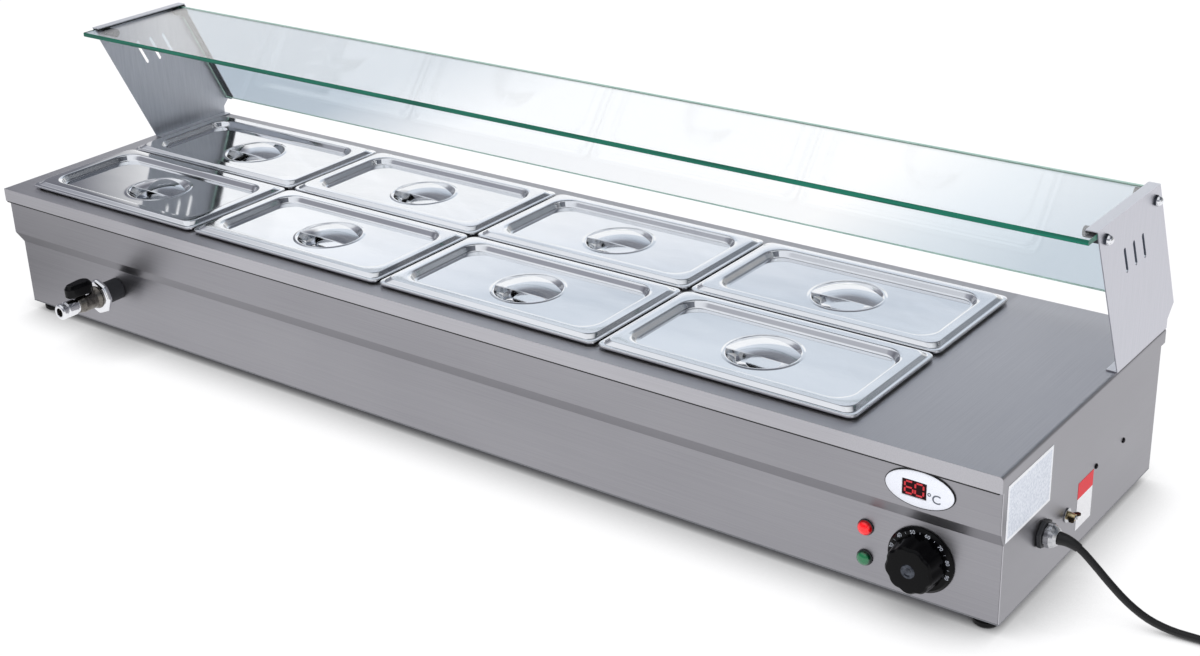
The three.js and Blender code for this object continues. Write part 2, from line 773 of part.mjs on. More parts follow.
// Upper edge and back edge of a guard plate, seen end on
const guardTopFront = bodyDepth - guardTopReach;
const guardFootFront = bodyDepth - guardFootReach;
const guardTopBack = guardTopFront + guardTopLength;
const guardSlope = guardLean / (guardHeight - guardHeel);
const guardHeelY = guardTopBack + guardLean;
const guardEdge = [[guardHeelY, guardHeel], [guardTopBack, guardHeight], [guardTopFront, guardHeight]];
const glassSetback = steel + seat + seal + seat;
const leftPlateX = guardInset;
const rightPlateX = bodyLength - steel;

// A point inside the guard, as far from the upper edge as from the back edge
function underBackCorner(distance) {
  return offsetPath(guardEdge, distance)[1];
}

const [backBoltY, boltZ] = underBackCorner(glassSetback + glass + seat + boltSleeve);
const frontBoltY = guardTopFront + frontBoltSetback;
const paneSlope = new THREE.Vector2(guardLean, guardHeel - guardHeight).normalize();

function slotOutline(y, z) {
  const half = slotLength / 2 - slotWidth / 2;
  const lean = Math.atan(guardSlope);
  const quarter = Math.PI / 2;
  const end = (side) => {
    const cy = y - side * half * Math.sin(lean);
    const cz = z + side * half * Math.cos(lean);
    const start = side > 0 ? lean : lean + 2 * quarter;
    return arc(cy, cz, slotWidth / 2, start, start + 2 * quarter, 3);
  };
  return [...end(1), ...end(-1)];
}

// Folded plate: flanges turned in along the top, down the back to a stop, and at the foot
function addGuardPlate(name, x, inward) {
  const foot = seat;
  const outline = [
    [guardFootFront, foot], [bodyDepth, foot], [bodyDepth, guardHeel - (guardHeelY - bodyDepth)],
    ...guardEdge,
  ];
  const from = inward > 0 ? x : x - guardFlange + steel;
  const to = from + guardFlange;
  const stopLength = glassSetback + glass + seat;
  const stop = [guardHeelY + paneSlope.y * stopLength, guardHeel - paneSlope.x * stopLength];
  const fold = bentSheet('x', [stop, ...guardEdge], steel, from, to);
  const footStrip = bentSheet('x', [[guardFootFront, foot], [bodyDepth, foot]], steel, from, to);
  const slotZ = guardHeight - slotDrop;
  const firstSlotY = guardTopFront + (guardFootFront - guardTopFront) * slotDrop / guardHeight + slotFront;
  const slots = along(1, slotCount, (order) => prism('x',
    slotOutline(firstSlotY + order * slotSpacing, slotZ), x - overrun, x + steel + overrun));
  const boltHoles = [frontBoltY, backBoltY].map((y) => rod('x', boltRadius + hole, x - overrun,
    x + steel + overrun, 12, [0, y, boltZ]));
  const plate = prism('x', outline, x, x + steel);
  const solid = cut(join(plate, fold, footStrip), ...slots, ...boltHoles);
  addPiece(name, 'satinSteel', geometryOf(solid));
}

function arrisOutline(y0, y1, z0, z1) {
  const a = glassArris;
  return [
    [y0 + a, z0], [y1 - a, z0], [y1, z0 + a], [y1, z1 - a],
    [y1 - a, z1], [y0 + a, z1], [y0, z1 - a], [y0, z0 + a],
  ];
}

function addGuard() {
  addGuardPlate('guard_plate_left', leftPlateX, 1);
  addGuardPlate('guard_plate_right', rightPlateX, -1);

  const paneFrom = leftPlateX + steel + seat;
  const paneTo = rightPlateX - seat;
  const topOfGlass = guardHeight - glassSetback;
  const innerCorner = underBackCorner(glassSetback);
  const paneBack = innerCorner[0] + paneSlope.y * glass - seat;
  addPiece('glass_top', 'glass', geometryOf(prism('x', arrisOutline(guardTopFront - glassOverhang, paneBack,
    topOfGlass - glass, topOfGlass), paneFrom, paneTo)));

  const heelIn = [guardHeelY + paneSlope.y * glassSetback, guardHeel - paneSlope.x * glassSetback];
  const slopeLength = Math.hypot(heelIn[0] - innerCorner[0], heelIn[1] - innerCorner[1]);
  const backPane = geometryOf(prism('x', arrisOutline(steel + seat, slopeLength - seat, 0, glass),
    paneFrom, paneTo));
  const holder = new THREE.Group();
  holder.position.set(0, heelIn[0], heelIn[1]);
  holder.rotation.x = Math.atan2(-paneSlope.y, -paneSlope.x);
  warmer.add(holder);
  addPiece('glass_back', 'glass', backPane, [0, 0, 0], holder);

  const aboveStop = [guardHeelY - paneSlope.x * (steel + seat), guardHeel - paneSlope.y * (steel + seat)];
  const sealPath = offsetPath([aboveStop, ...guardEdge.slice(1)], steel + seat);
  [[paneFrom, 'seal_left'], [paneTo - guardFlange + steel + seat, 'seal_right']].forEach(([from, name]) => {
    const strip = bentSheet('x', sealPath, seal, from, from + guardFlange - steel - seat);
    addPiece(name, 'blackRubber', geometryOf(strip));
  });

  // Bolt with its cap nut outside the plate, which spans from 0 to the sheet's thickness
  const capBase = steel + seat;
  const capEdge = capBase + boltHeadHeight / 3;
  const boltProfile = [
    [0, -boltReach], [boltSleeve, -boltReach], [boltSleeve, -seat], [boltRadius, -seat],
    [boltRadius, capBase], [boltHead, capBase],
    [boltHead, capEdge], ...arc(0, capEdge, boltHead * 5 / 6, 0, Math.PI / 2, 2),
  ];
  const mirrored = boltProfile.map(([radius, distance]) => [radius, -distance]).reverse();
  const boltSides = 8;
  [['front', frontBoltY], ['back', backBoltY]].forEach(([end, y]) => {
    addPiece(`guard_bolt_${end}_left`, 'chrome', geometryOf(turned('x', mirrored, boltSides)),
      [leftPlateX + steel, y, boltZ]);
    addPiece(`guard_bolt_${end}_right`, 'chrome', geometryOf(turned('x', boltProfile, boltSides)),
      [rightPlateX, y, boltZ]);
  });
}

// Dial: a numbered skirt with a lobed grip, bored from behind for the thermostat's shaft
function addDial() {
  const sides = 36;
  const face = panelFace - skirtGap;
  const front = face - skirtThickness - gripHeight;
  const dial = new THREE.Group();
  dial.position.set(dialX, 0, -dialDepth);
  warmer.add(dial);
  const rim = skirtThickness / 3;
  const skirt = turned('y', [
    [0, face - skirtThickness], [skirtRadius - skirtThickness, face - skirtThickness],
    [skirtRadius, face - rim], [skirtRadius, face], [0, face],
  ], sides);
  const lobedRing = (radius, y) => along(sides, sides, (share) => {
    const angle = share * Math.PI * 2;
    const r = radius - gripLobeDepth * (1 + Math.cos(angle * gripLobes)) / 2;
    return new THREE.Vector3(r * Math.sin(angle), y, r * Math.cos(angle));
  });
  const round = gripTaper / 2;
  const grip = skin([
    lobedRing(gripRadius - gripTaper - round, front),
    lobedRing(gripRadius - gripTaper, front + round),
    lobedRing(gripRadius, face - rim),
  ]);
  const capSeat = rod('y', capRadius + hole, front - overrun, front + capHeight, 16);
  const shaftBore = rod('y', shaftRadius + hole, front + gripHeight - shaftReach, face + overrun, 12);
  addPiece('thermostat_knob', 'blackPlastic', geometryOf(cut(join(skirt, grip), capSeat, shaftBore)),
    [0, 0, 0], dial);
  const capFront = front - capHeight / 3;
  const cap = turned('y', [
    [0, capFront], [capRadius - capHeight / 3, capFront], [capRadius, front],
    [capRadius, front + capHeight - seat], [0, front + capHeight - seat],
  ], 16);
  addPiece('knob_cap', 'chrome', geometryOf(cap), [0, 0, 0], dial);
  const body = panelBack + seat;
  const shaftTip = front + gripHeight - shaftReach + seat;
  const thermostat = turned('y', [
    [0, shaftTip], [shaftRadius, shaftTip], [shaftRadius, body], [thermostatRadius, body],
    [thermostatRadius, body + thermostatDepth], [0, body + thermostatDepth],
  ], 16);
  addPiece('thermostat_body', 'darkPlastic', geometryOf(thermostat), [dialX, 0, -dialDepth]);
}

// Pilot lamp: a domed lens, its stem through the panel and a nut behind it
function addLamps() {
  const base = panelFace - seat;
  const nut = panelBack + seat;
  const shoulder = lampHeight / 4;
  const dome = arc(0, 0, 1, 0, Math.PI / 2, 4).reverse()
    .map(([r, h]) => [r * lampRadius, base - shoulder - h * (lampHeight - shoulder)]);
  const profile = [
    ...dome, [lampRadius, base], [lampStem, base], [lampStem, nut], [lampNut, nut],
    [lampNut, nut + lampStem / 2], [lampStem, nut + lampStem / 2],
    [lampStem, nut + lampLength], [0, nut + lampLength],
  ];
  const lamp = geometryOf(turned('y', profile, 12));
  addPiece('red_lamp', 'redLens', lamp, [lampX, 0, -redLampDepth]);
  addPiece('green_lamp', 'greenLens', lamp, [lampX, 0, -greenLampDepth]);
}

// Oval display: a crowned bezel with its module through the band, and a window let into it
function addDisplay() {
  const base = bandInset - seat;
  const unit = [[0, -bezelCrown], [1 / 2, -bezelCrown * 7 / 8], [4 / 5, -bezelCrown * 5 / 8],
    [1, -bezelEdge], [1, 0], [0, 0]];
  const oval = turnedGeometry('y', unit, 28);
  oval.scale(bezelLength / 2, 1, bezelHeight / 2);
  oval.translate(0, base, 0);
  const module = block(-moduleLength / 2, moduleLength / 2, base - bezelEdge / 2, base + moduleDepth,
    -moduleHeight / 2, moduleHeight / 2);
  const windowX = -windowFromMiddle;
  const pocket = (extra, front, back) => block(windowX - windowLength / 2 - extra,
    windowX + windowLength / 2 + extra, front, back, -windowHeight / 2 - extra, windowHeight / 2 + extra);
  const pocketBack = base + bezelCrown / 2;
  const place = [displayX, 0, -displayDepth];
  const bezel = cut(join(solidOf(oval), module), pocket(hole, base - bezelCrown - overrun, pocketBack));
  addPiece('display_bezel', 'whitePlastic', geometryOf(bezel), place);
  addPiece('display_window', 'redWindow',
    geometryOf(pocket(0, base - bezelCrown * 3 / 5, pocketBack - seat)), place);
}

// Drain tap: pipe through panel and tank, sleeve and ring nut outside, body, nozzle and lever
function addTap() {
  const sleeveFront = panelFace - seat - tapSleeveLength;
  const place = [tapFromLeft, 0, -tapDepth];
  const wallIn = tankWallInner.y0 + seat;
  const pipeFront = sleeveFront + tapSleeveLength / 4;
  const flangeBack = wallIn + tapPipe / 2;
  const pipe = turned('y', [
    [tapBore, pipeFront], [tapPipe, pipeFront], [tapPipe, wallIn], [tapFlange, wallIn],
    [tapFlange, flangeBack], [tapBore, flangeBack], [tapBore, pipeFront],
  ], 16);
  addPiece('tap_pipe', 'paleMetal', geometryOf(pipe), place);
  const sleeve = turned('y', [
    [tapPipe + hole, sleeveFront], [tapSleeve, sleeveFront], [tapSleeve, panelFace - seat],
    [tapPipe + hole, panelFace - seat], [tapPipe + hole, sleeveFront],
  ], 16);
  addPiece('tap_sleeve', 'darkPlastic', geometryOf(sleeve), place);
  const ringBack = sleeveFront - seat;
  const ringFront = ringBack - tapRingLength;
  const chamfer = tapRingLength / 4;
  const ring = turned('y', [
    [tapPipe + hole, ringFront], [tapRing - chamfer, ringFront], [tapRing, ringFront + chamfer],
    [tapRing, ringBack - chamfer], [tapRing - chamfer, ringBack], [tapPipe + hole, ringBack],
    [tapPipe + hole, ringFront],
  ], 8);
  addPiece('tap_ring', 'chrome', geometryOf(ring), place);
  const bodyBack = ringFront - seat;
  const bodyFront = bodyBack - tapBodyLength;
  const nozzleFront = bodyFront - tapNozzleLength;
  const boreEnd = bodyFront + tapBore;
  const lip = tapNozzleRadius / 5;
  const body = turned('y', [
    [0, nozzleFront + overrun], [tapBore, nozzleFront + overrun], [tapBore, nozzleFront],
    [tapNozzleRadius - lip, nozzleFront], [tapNozzleRadius, nozzleFront + lip],
    [tapNozzleRadius, bodyFront - tapNozzleLength / 3], [tapNozzleRadius - lip, bodyFront],
    [tapBodyRadius - lip, bodyFront + lip], [tapBodyRadius, bodyFront + tapBodyLength / 3],
    [tapBodyRadius, bodyBack - tapBodyLength / 4], [tapBodyRadius * 5 / 4, bodyBack], [0, bodyBack],
  ], 16);
  const bore = rod('y', tapBore, nozzleFront - overrun, boreEnd, 16);
  const pivotY = bodyBack - tapBodyLength / 2;
  const post = rod('z', leverPost, tapBodyRadius / 2, tapBodyRadius + leverPostHeight, 12, [0, pivotY, 0]);
  addPiece('tap_body', 'chrome', geometryOf(cut(join(body, post), bore)), place);

  const lever = new THREE.Group();
  lever.position.set(tapFromLeft, pivotY, -tapDepth + tapBodyRadius + leverPostHeight + seat);
  warmer.add(lever);
  const half = leverWidth / 2;
  const plan = [
    ...arc(0, 0, half, 0, Math.PI, 6),
    ...arc(0, -leverLength + half * 3 / 4, half * 3 / 4, Math.PI, Math.PI * 2, 6),
  ];
  const grip = prism('z', plan, 0, leverThickness);
  addPiece('tap_lever', 'blackPlastic', geometryOf(grip), [0, 0, 0], lever);
}

// Cable gland through the end wall, and the earth bolt with its wing nut
function addServices() {
  const wallIn = -steel - seat;
  const glandPlace = [bodyLength, glandFromFront, -glandDepth];
  const nutWidth = glandFlangeWidth;
  const flange = turned('x', [
    [glandMouth, wallIn - nutWidth], [glandNutRadius, wallIn - nutWidth], [glandNutRadius, wallIn],
    [glandStem, wallIn], [glandStem, seat], [glandFlangeRadius, seat],
    [glandFlangeRadius, seat + glandFlangeWidth], [glandMouth, seat + glandFlangeWidth],
    [glandMouth, wallIn - nutWidth],
  ], 12);
  addPiece('gland_flange', 'darkPlastic', geometryOf(flange), glandPlace);
  const base = seat * 2 + glandFlangeWidth;
  const tip = base + glandBodyLength;
  const body = turned('x', [
    [glandMouth, base], [glandBodyRadius, base], [glandBodyRadius, base + glandBodyLength / 2],
    [glandBodyRadius * 7 / 8, base + glandBodyLength * 3 / 4], [glandMouth * 4 / 3, tip], [0, tip],
    [0, tip - glandBodyLength / 4], [glandMouth, tip - glandBodyLength / 4], [glandMouth, base],
  ], 12);
  addPiece('gland_body', 'paleMetal', geometryOf(body), glandPlace);

  const earthPlace = [bodyLength, earthFromFront, -earthDepth];
  const washer = earthRadius / 2;
  const bolt = turned('x', [
    [0, wallIn - washer * 2], [earthWasher * 3 / 4, wallIn - washer * 2], [earthWasher * 3 / 4, wallIn],
    [earthRadius, wallIn], [earthRadius, seat], [earthWasher, seat], [earthWasher, seat + washer],
    [earthRadius, seat + washer], [earthRadius, earthReach], [0, earthReach],
  ], 10);
  addPiece('earth_bolt', 'paleMetal', geometryOf(bolt), earthPlace);
  const nutBase = seat * 2 + washer;
  const nutTip = nutBase + wingHeight;
  const hub = turned('x', [
    [earthRadius + hole, nutBase], [wingHub, nutBase], [wingHub * 3 / 4, nutTip],
    [earthRadius + hole, nutTip], [earthRadius + hole, nutBase],
  ], 10);
  const wingOutline = [
    [-wingHub / 2, nutBase + seat], [wingHub, nutBase + seat], [wingSpan / 2, nutTip - wingHub / 2],
    [wingSpan / 2 - wingHub / 3, nutTip + wingHub / 2], [wingHub, nutTip], [-wingHub / 2, nutTip],
  ];
  const wing = (side) => prism('z', wingOutline.map(([y, x]) => [x, side * y]), -wingThickness / 2, wingThickness / 2);
  const stem = rod('x', earthRadius + hole, nutBase - overrun, nutTip + overrun, 10);
  addPiece('earth_nut', 'brass', geometryOf(cut(join(hub, wing(1), wing(-1)), stem)), earthPlace);
}

// Mains lead: a loose stretch from the gland to the floor, a coil of the rest, and a plug
const floorZ = -bodyHeight - footHeight;
const leadRadius = leadDiameter / 2;
const leadFloor = floorZ + leadRadius + seat;
const leadExit = [bodyLength + seat * 3 + glandFlangeWidth + glandBodyLength, glandFromFront, -glandDepth];

// Route of the loose stretch, chosen by hand: distance from the exit along X, Y and Z
const leadRoute = [
  [0, 0, 0], [9, 0, -0.4], [22, 0, -5], [38, 0, -17.5], [56, 0.5, -34], [76, 2, -51],
  [97, 4, -63.5], [120, 6.5, -70], [145, 9, -71.5], [175, 11, -71.5], [200, 11.9, -71.5], [217, 12, -71.5],
];

function addLead() {
  const [exitX, exitY, exitZ] = leadExit;
  const drop = (leadFloor - exitZ) / leadRoute[leadRoute.length - 1][2];
  const stretch = leadRoute.map(([x, y, z]) => new THREE.Vector3(exitX + x, exitY + y, exitZ + z * drop));
  const route = new THREE.CatmullRomCurve3(stretch, false, 'centripetal');
  const loose = new THREE.ExtrudeGeometry(roundSection(leadRadius, 8),
    { steps: 14, bevelEnabled: false, extrudePath: route });
  addPiece('power_cord', 'blackRubber', loose);

  const join0 = stretch[stretch.length - 1];
  const outer = coilMiddle + coilPitch * coilTurns / 4;
  const inner = coilMiddle - coilPitch * coilTurns / 4;
  const tail = Math.sqrt((outer + leadRadius + seat) ** 2 - (outer - plugWidth / 2) ** 2);
  const startX = join0.x + seat + leadDiameter;
  const centre = new THREE.Vector3(startX, join0.y + outer, leadFloor);
  const turnPoint = (turn) => {
    const fromMiddle = turn - coilTurns / 2;
    const soft = 1 / 8;
    const radius = inner + coilPitch * (Math.hypot(fromMiddle, soft) - soft);
    const climb = THREE.MathUtils.smoothstep(fromMiddle, -1 / 4, 1 / 4);
    const angle = -Math.PI / 2 + turn * Math.PI * 2;
    return new THREE.Vector3(centre.x + radius * Math.cos(angle), centre.y + radius * Math.sin(angle),
      centre.z + coilPitch * climb);
  };
  const stepsPerTurn = 24;
  const stepCount = coilTurns * stepsPerTurn;
  const wound = along(stepsPerTurn, stepCount + 1, turnPoint);
  const first = wound[0].clone().setX(wound[0].x - leadDiameter);
  const last = wound[stepCount].clone().setX(wound[stepCount].x + tail);
  addPiece('cord_coil', 'blackRubber', geometryOf(tubeThrough([first, ...wound, last], leadRadius, 6)));

  const finePoints = along(stepsPerTurn * 4, stepCount * 4 + 1, turnPoint);
  let least = Infinity;
  finePoints.forEach((point, i) => {
    for (let k = i + stepsPerTurn * 2; k < finePoints.length; k += 1) {
      least = Math.min(least, point.distanceTo(finePoints[k]) - leadDiameter);
    }
  });
  console.log(`least gap of the coil to itself: ${least.toFixed(2)} mm`);
  const length = route.getLength() + polylineLength([first, ...finePoints, last]);
  console.log(`length of the lead: ${length.toFixed(0)} mm`);

  const plug = new THREE.Group();
  plug.position.set(last.x + seat, last.y, last.z);
  warmer.add(plug);
  const plugRing = (x, share) => roundedOutline(-plugWidth * share / 2, plugWidth * share / 2,
    -plugHeight * share / 2, plugHeight * share / 2, plugHeight * share / 3, 3)
    .map(([y, z]) => new THREE.Vector3(x, y, z));
  const face = plugLength;
  const shell = skin([
    plugRing(0, 2 / 5), plugRing(plugLength / 3, 1 / 2), plugRing(plugLength / 2, 9 / 10),
    plugRing(plugLength * 5 / 6, 1), plugRing(face, 19 / 20),
  ]);
  const blade = (y) => block(face - overrun, face + bladeLength, y - bladeThickness / 2, y + bladeThickness / 2,
    earthPinRadius - bladeWidth / 2, earthPinRadius + bladeWidth / 2);
  const pin = rod('x', earthPinRadius, face - overrun, face + earthPinLength, 8, [0, 0, -plugHeight / 4]);
  addPiece('plug', 'blackRubber', geometryOf(join(shell, blade(-bladeSpacing / 2), blade(bladeSpacing / 2), pin)),
    [0, 0, 0], plug);
}

function polylineLength(points) {
  return points.slice(1).reduce((sum, point, i) => sum + point.distanceTo(points[i]), 0);
}

// One unbroken tube through a list of points, its section kept level
function tubeThrough(points, radius, sides) {
  return skin(points.map((point, i) => {
    const before = points[Math.max(i - 1, 0)];
    const after = points[Math.min(i + 1, points.length - 1)];
    const forward = after.clone().sub(before).normalize();
    const across = axisZ.clone().cross(forward).normalize();
    const up = forward.clone().cross(across);
    return along(sides, sides, (share) => {
      const angle = share * Math.PI * 2;
      return point.clone().addScaledVector(across, radius * Math.cos(angle))
        .addScaledVector(up, radius * Math.sin(angle));
    });
  }));
}

addDeck();
addWalls();
addBase();
addTank();
addElement();
addBars();
addPansAndLids();
addGuard();
addDial();
addLamps();
addDisplay();
addTap();
addServices();
addLead();

// The origin goes under the middle of the warmer itself, its lead left out
const leadPieces = ['power_cord', 'cord_coil', 'plug'];
const reach = new THREE.Box3();
warmer.updateMatrixWorld(true);
warmer.traverse((piece) => {
  if (piece.isMesh && !leadPieces.includes(piece.name)) reach.expandByObject(piece, true);
});
warmer.position.set(-(reach.min.x + reach.max.x) / 2, -(reach.min.y + reach.max.y) / 2, -reach.min.z);

export default warmer;
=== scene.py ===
"""The looks of an electric bain-marie food warmer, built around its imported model.

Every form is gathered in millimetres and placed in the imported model's frame: +X along the
length to the control end, +Y to the back, +Z up, the origin on the surface under the middle.
"""

import logging
import math
from collections.abc import Callable, Sequence
from dataclasses import dataclass, field
from enum import Enum

import bmesh
import bpy
from mathutils import Euler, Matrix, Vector

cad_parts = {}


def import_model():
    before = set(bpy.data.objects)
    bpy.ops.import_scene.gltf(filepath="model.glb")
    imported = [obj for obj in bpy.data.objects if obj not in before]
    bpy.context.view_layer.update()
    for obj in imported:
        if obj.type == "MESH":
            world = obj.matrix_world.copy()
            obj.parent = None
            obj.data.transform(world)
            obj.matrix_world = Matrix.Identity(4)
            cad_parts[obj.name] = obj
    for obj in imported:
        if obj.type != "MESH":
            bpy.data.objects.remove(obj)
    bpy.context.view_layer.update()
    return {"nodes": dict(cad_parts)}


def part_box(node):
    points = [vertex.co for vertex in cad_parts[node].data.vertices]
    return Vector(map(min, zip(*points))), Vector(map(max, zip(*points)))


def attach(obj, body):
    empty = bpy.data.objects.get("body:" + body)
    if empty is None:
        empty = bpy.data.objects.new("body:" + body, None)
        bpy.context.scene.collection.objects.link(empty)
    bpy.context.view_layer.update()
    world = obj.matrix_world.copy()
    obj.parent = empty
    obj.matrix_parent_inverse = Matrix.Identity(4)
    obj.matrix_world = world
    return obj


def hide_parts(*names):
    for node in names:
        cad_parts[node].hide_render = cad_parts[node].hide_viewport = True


log = logging.getLogger("food_warmer")

MM = 0.001
SEAT = 0.3  # gap left where two pieces touch, in millimetres
WHITE = "#ffffff"
GRAIN = (0.3, 0.7)  # what most of a noise lies between

Flat = tuple[float, float]
Point = tuple[float, float, float]
Ring = list[Point]
Stops = Sequence[tuple[float, str]]
Tree = bpy.types.NodeTree
Node = bpy.types.Node
Feed = bpy.types.Node | bpy.types.NodeSocket
Nodes = dict[str, bpy.types.Object]


# Sections and outlines


def arc(centre: Flat, radius: float, start: float, end: float, steps: int) -> list[Flat]:
    """Points along an arc.

    Args:
        centre: The arc's centre.
        radius: Its radius.
        start: The angle of its first point, in degrees.
        end: The angle of its last point, in degrees.
        steps: How many steps it has.

    Returns:
        The points, both ends included.
    """
    angles = [math.radians(start + (end - start) * step / steps) for step in range(steps + 1)]
    return [(centre[0] + radius * math.cos(a), centre[1] + radius * math.sin(a)) for a in angles]


def circle(radius: float, sides: int, start: float = 0.0) -> list[Flat]:
    """The corners of a regular outline, the first of them at an angle in degrees."""
    return arc((0, 0), radius, start, start + 360, sides)[:-1]


def filleted(path: Sequence[Flat], radius: float, steps: int = 4) -> list[Flat]:
    """A path whose inner corners are rounded.

    Args:
        path: The corners of the path.
        radius: The radius of the rounds, made smaller where a side is short.
        steps: How many steps each round has.

    Returns:
        The rounded path's points.
    """
    rounded = [path[0]]
    for before, corner, after in zip(path, path[1:], path[2:]):
        c = Vector(corner)
        back, ahead = Vector(before) - c, Vector(after) - c
        turn = math.pi - back.angle(ahead, math.pi)
        if turn < 1e-4:
            rounded.append(corner)
            continue
        reach = min(radius * math.tan(turn / 2), back.length * 0.48, ahead.length * 0.48)
        start, end = c + back.normalized() * reach, c + ahead.normalized() * reach
        for t in (step / steps for step in range(steps + 1)):
            rounded.append(tuple(start * (1 - t) ** 2 + c * 2 * t * (1 - t) + end * t**2))
    return [*rounded, path[-1]]


def offset(path: Sequence[Flat], distance: float) -> list[Flat]:
    """The path moved to its left, with mitred corners.

    Args:
        path: The corners of the path.
        distance: How far it is moved.

    Returns:
        The moved path's points.
    """
    moved = []
    for i, point in enumerate(path):
        sides = [(Vector(path[k + 1]) - Vector(path[k])).normalized() for k in (i - 1, i)
                 if 0 <= k < len(path) - 1]
        n, m = (Vector((-side.y, side.x)) for side in (sides[0], sides[-1]))
        shift = (n + m) * (distance / (1 + n.dot(m)))
        moved.append((point[0] + shift.x, point[1] + shift.y))
    return moved


def tray_ring(length: float, width: float, inset: float, height: float, radius: float,
              steps: int) -> Ring:
    """A level ring of a pressed tray: a rounded rectangle drawn in from the full outline.

    Args:
        length: The full outline along X.
        width: The full outline along Y.
        inset: How far the ring is drawn in on every side.
        height: The ring's height.
        radius: The radius of its corners.
        steps: How many steps each corner has.

    Returns:
        The ring's points, anticlockwise from the front right corner.
    """
    x, y = length / 2 - inset - radius, width / 2 - inset - radius
    corners = [((x, -y), -90), ((x, y), 0), ((-x, y), 90), ((-x, -y), 180)]
    return [(*point, height) for centre, start in corners
            for point in arc(centre, radius, start, start + 90, steps)]


class Way(Enum):
    """An axis of the frame, with the turn that lays a form's own Z along it."""

    X = (0.0, 90.0, 0.0)
    MINUS_Y = (90.0, 0.0, 0.0)
    Z = (0.0, 0.0, 0.0)

    def placed(self, point: Point, at: Point) -> Point:
        """A point turned to the axis and moved to where that starts."""
        turned = Euler([math.radians(a) for a in self.value]).to_matrix() @ Vector(point)
        return tuple(a + b for a, b in zip(turned, at))


@dataclass
class Form:
    """The faces of one piece, gathered in millimetres."""

    points: list[Point] = field(default_factory=list)
    faces: list[tuple[int, ...]] = field(default_factory=list)
    finish_of: list[int] = field(default_factory=list)

    def skin(self, rings: Sequence[Ring], finish: int = 0, loop: bool = False) -> "Form":
        """Adds a skin over rings of equally many points.

        Args:
            rings: The rings, from one end of the piece to the other.
            finish: The place of its finish in the piece's list.
            loop: Whether the last ring joins the first, instead of both being capped.

        Returns:
            The form itself.
        """
        count, first = len(rings[0]), len(self.points)
        self.points += [point for ring in rings for point in ring]
        made = []
        for r in range(len(rings) if loop else len(rings) - 1):
            low, high = first + r * count, first + (r + 1) % len(rings) * count
            made += [(low + i, low + (i + 1) % count, high + (i + 1) % count, high + i)
                     for i in range(count)]
        if not loop:
            last = first + (len(rings) - 1) * count
            made += [tuple(range(first, first + count))[::-1], tuple(range(last, last + count))]
        self.faces += made
        self.finish_of += [finish] * len(made)
        return self

    def turned(self, profile: Sequence[Flat], sides: int, way: Way = Way.Z,
               at: Point = (0, 0, 0), finish: int = 0, loop: bool = False) -> "Form":
        """Adds a turned body.

        Args:
            profile: Radius and distance along the axis of each of its rings.
            sides: How many sides it has.
            way: The axis that it is turned round.
            at: Where the axis starts.
            finish: The place of its finish in the piece's list.
            loop: Whether the profile closes on itself, as on a tube.

        Returns:
            The form itself.
        """
        return self.skin([[way.placed((*p, z), at) for p in circle(max(r, 0.01), sides)]
                          for r, z in profile], finish, loop)

    def prism(self, outline: Sequence[Flat], low: float, high: float, way: Way = Way.Z,
              at: Point = (0, 0, 0), finish: int = 0) -> "Form":
        """Adds a prism over an outline, from low to high along an axis."""
        return self.skin([[way.placed((*p, z), at) for p in outline] for z in (low, high)], finish)

    def box(self, low: Point, high: Point, finish: int = 0) -> "Form":
        """Adds a block between two corners."""
        (x0, y0, z0), (x1, y1, z1) = low, high
        return self.prism([(x0, y0), (x1, y0), (x1, y1), (x0, y1)], z0, z1, finish=finish)

    def mesh(self, name: str, crease: float = 32.0) -> bpy.types.Mesh:
        """The form as a mesh in metres, its faces pointing out.

        Args:
            name: The mesh's name.
            crease: The angle in degrees up to which its faces are shaded as one.

        Returns:
            The mesh.
        """
        data = bpy.data.meshes.new(name)
        data.from_pydata([Vector(p) * MM for p in self.points], [], self.faces)
        data.polygons.foreach_set("material_index", self.finish_of)
        edit = bmesh.new()
        edit.from_mesh(data)
        bmesh.ops.recalc_face_normals(edit, faces=edit.faces)
        edit.to_mesh(data)
        edit.free()
        data.shade_smooth()
        data.set_sharp_from_angle(angle=math.radians(crease))
        return data


# Finishes


def linear(code: str) -> tuple[float, float, float, float]:
    """The linear colour of an sRGB hex code, with full alpha."""
    shares = [int(code[i:i + 2], 16) / 255 for i in (1, 3, 5)]
    levels = [s / 12.92 if s <= 0.04045 else ((s + 0.055) / 1.055) ** 2.4 for s in shares]
    return (*levels, 1.0)


def add_node(tree: Tree, kind: str, inputs: dict | None = None) -> Node:
    """Adds a node to a tree, with its settings and links.

    Args:
        tree: The node tree.
        kind: The node's type, without the word ShaderNode before it.
        inputs: Its properties, in small letters and first, and its inputs by name or place. An
            input gets a value, the output that feeds it, or a node whose first output feeds it.

    Returns:
        The new node.
    """
    made = tree.nodes.new(f"ShaderNode{kind}")
    for key, value in (inputs or {}).items():
        if isinstance(value, Node):
            value = next(output for output in value.outputs if output.enabled)
        if isinstance(key, str) and key[0].islower():
            setattr(made, key, value)
        elif isinstance(value, bpy.types.NodeSocket):
            tree.links.new(value, made.inputs[key])
        else:
            made.inputs[key].default_value = value
    return made


def cleared(owner: bpy.types.Material | bpy.types.World) -> Tree:
    """The owner's own nodes, turned on and emptied."""
    owner.use_nodes = True
    owner.node_tree.nodes.clear()
    return owner.node_tree


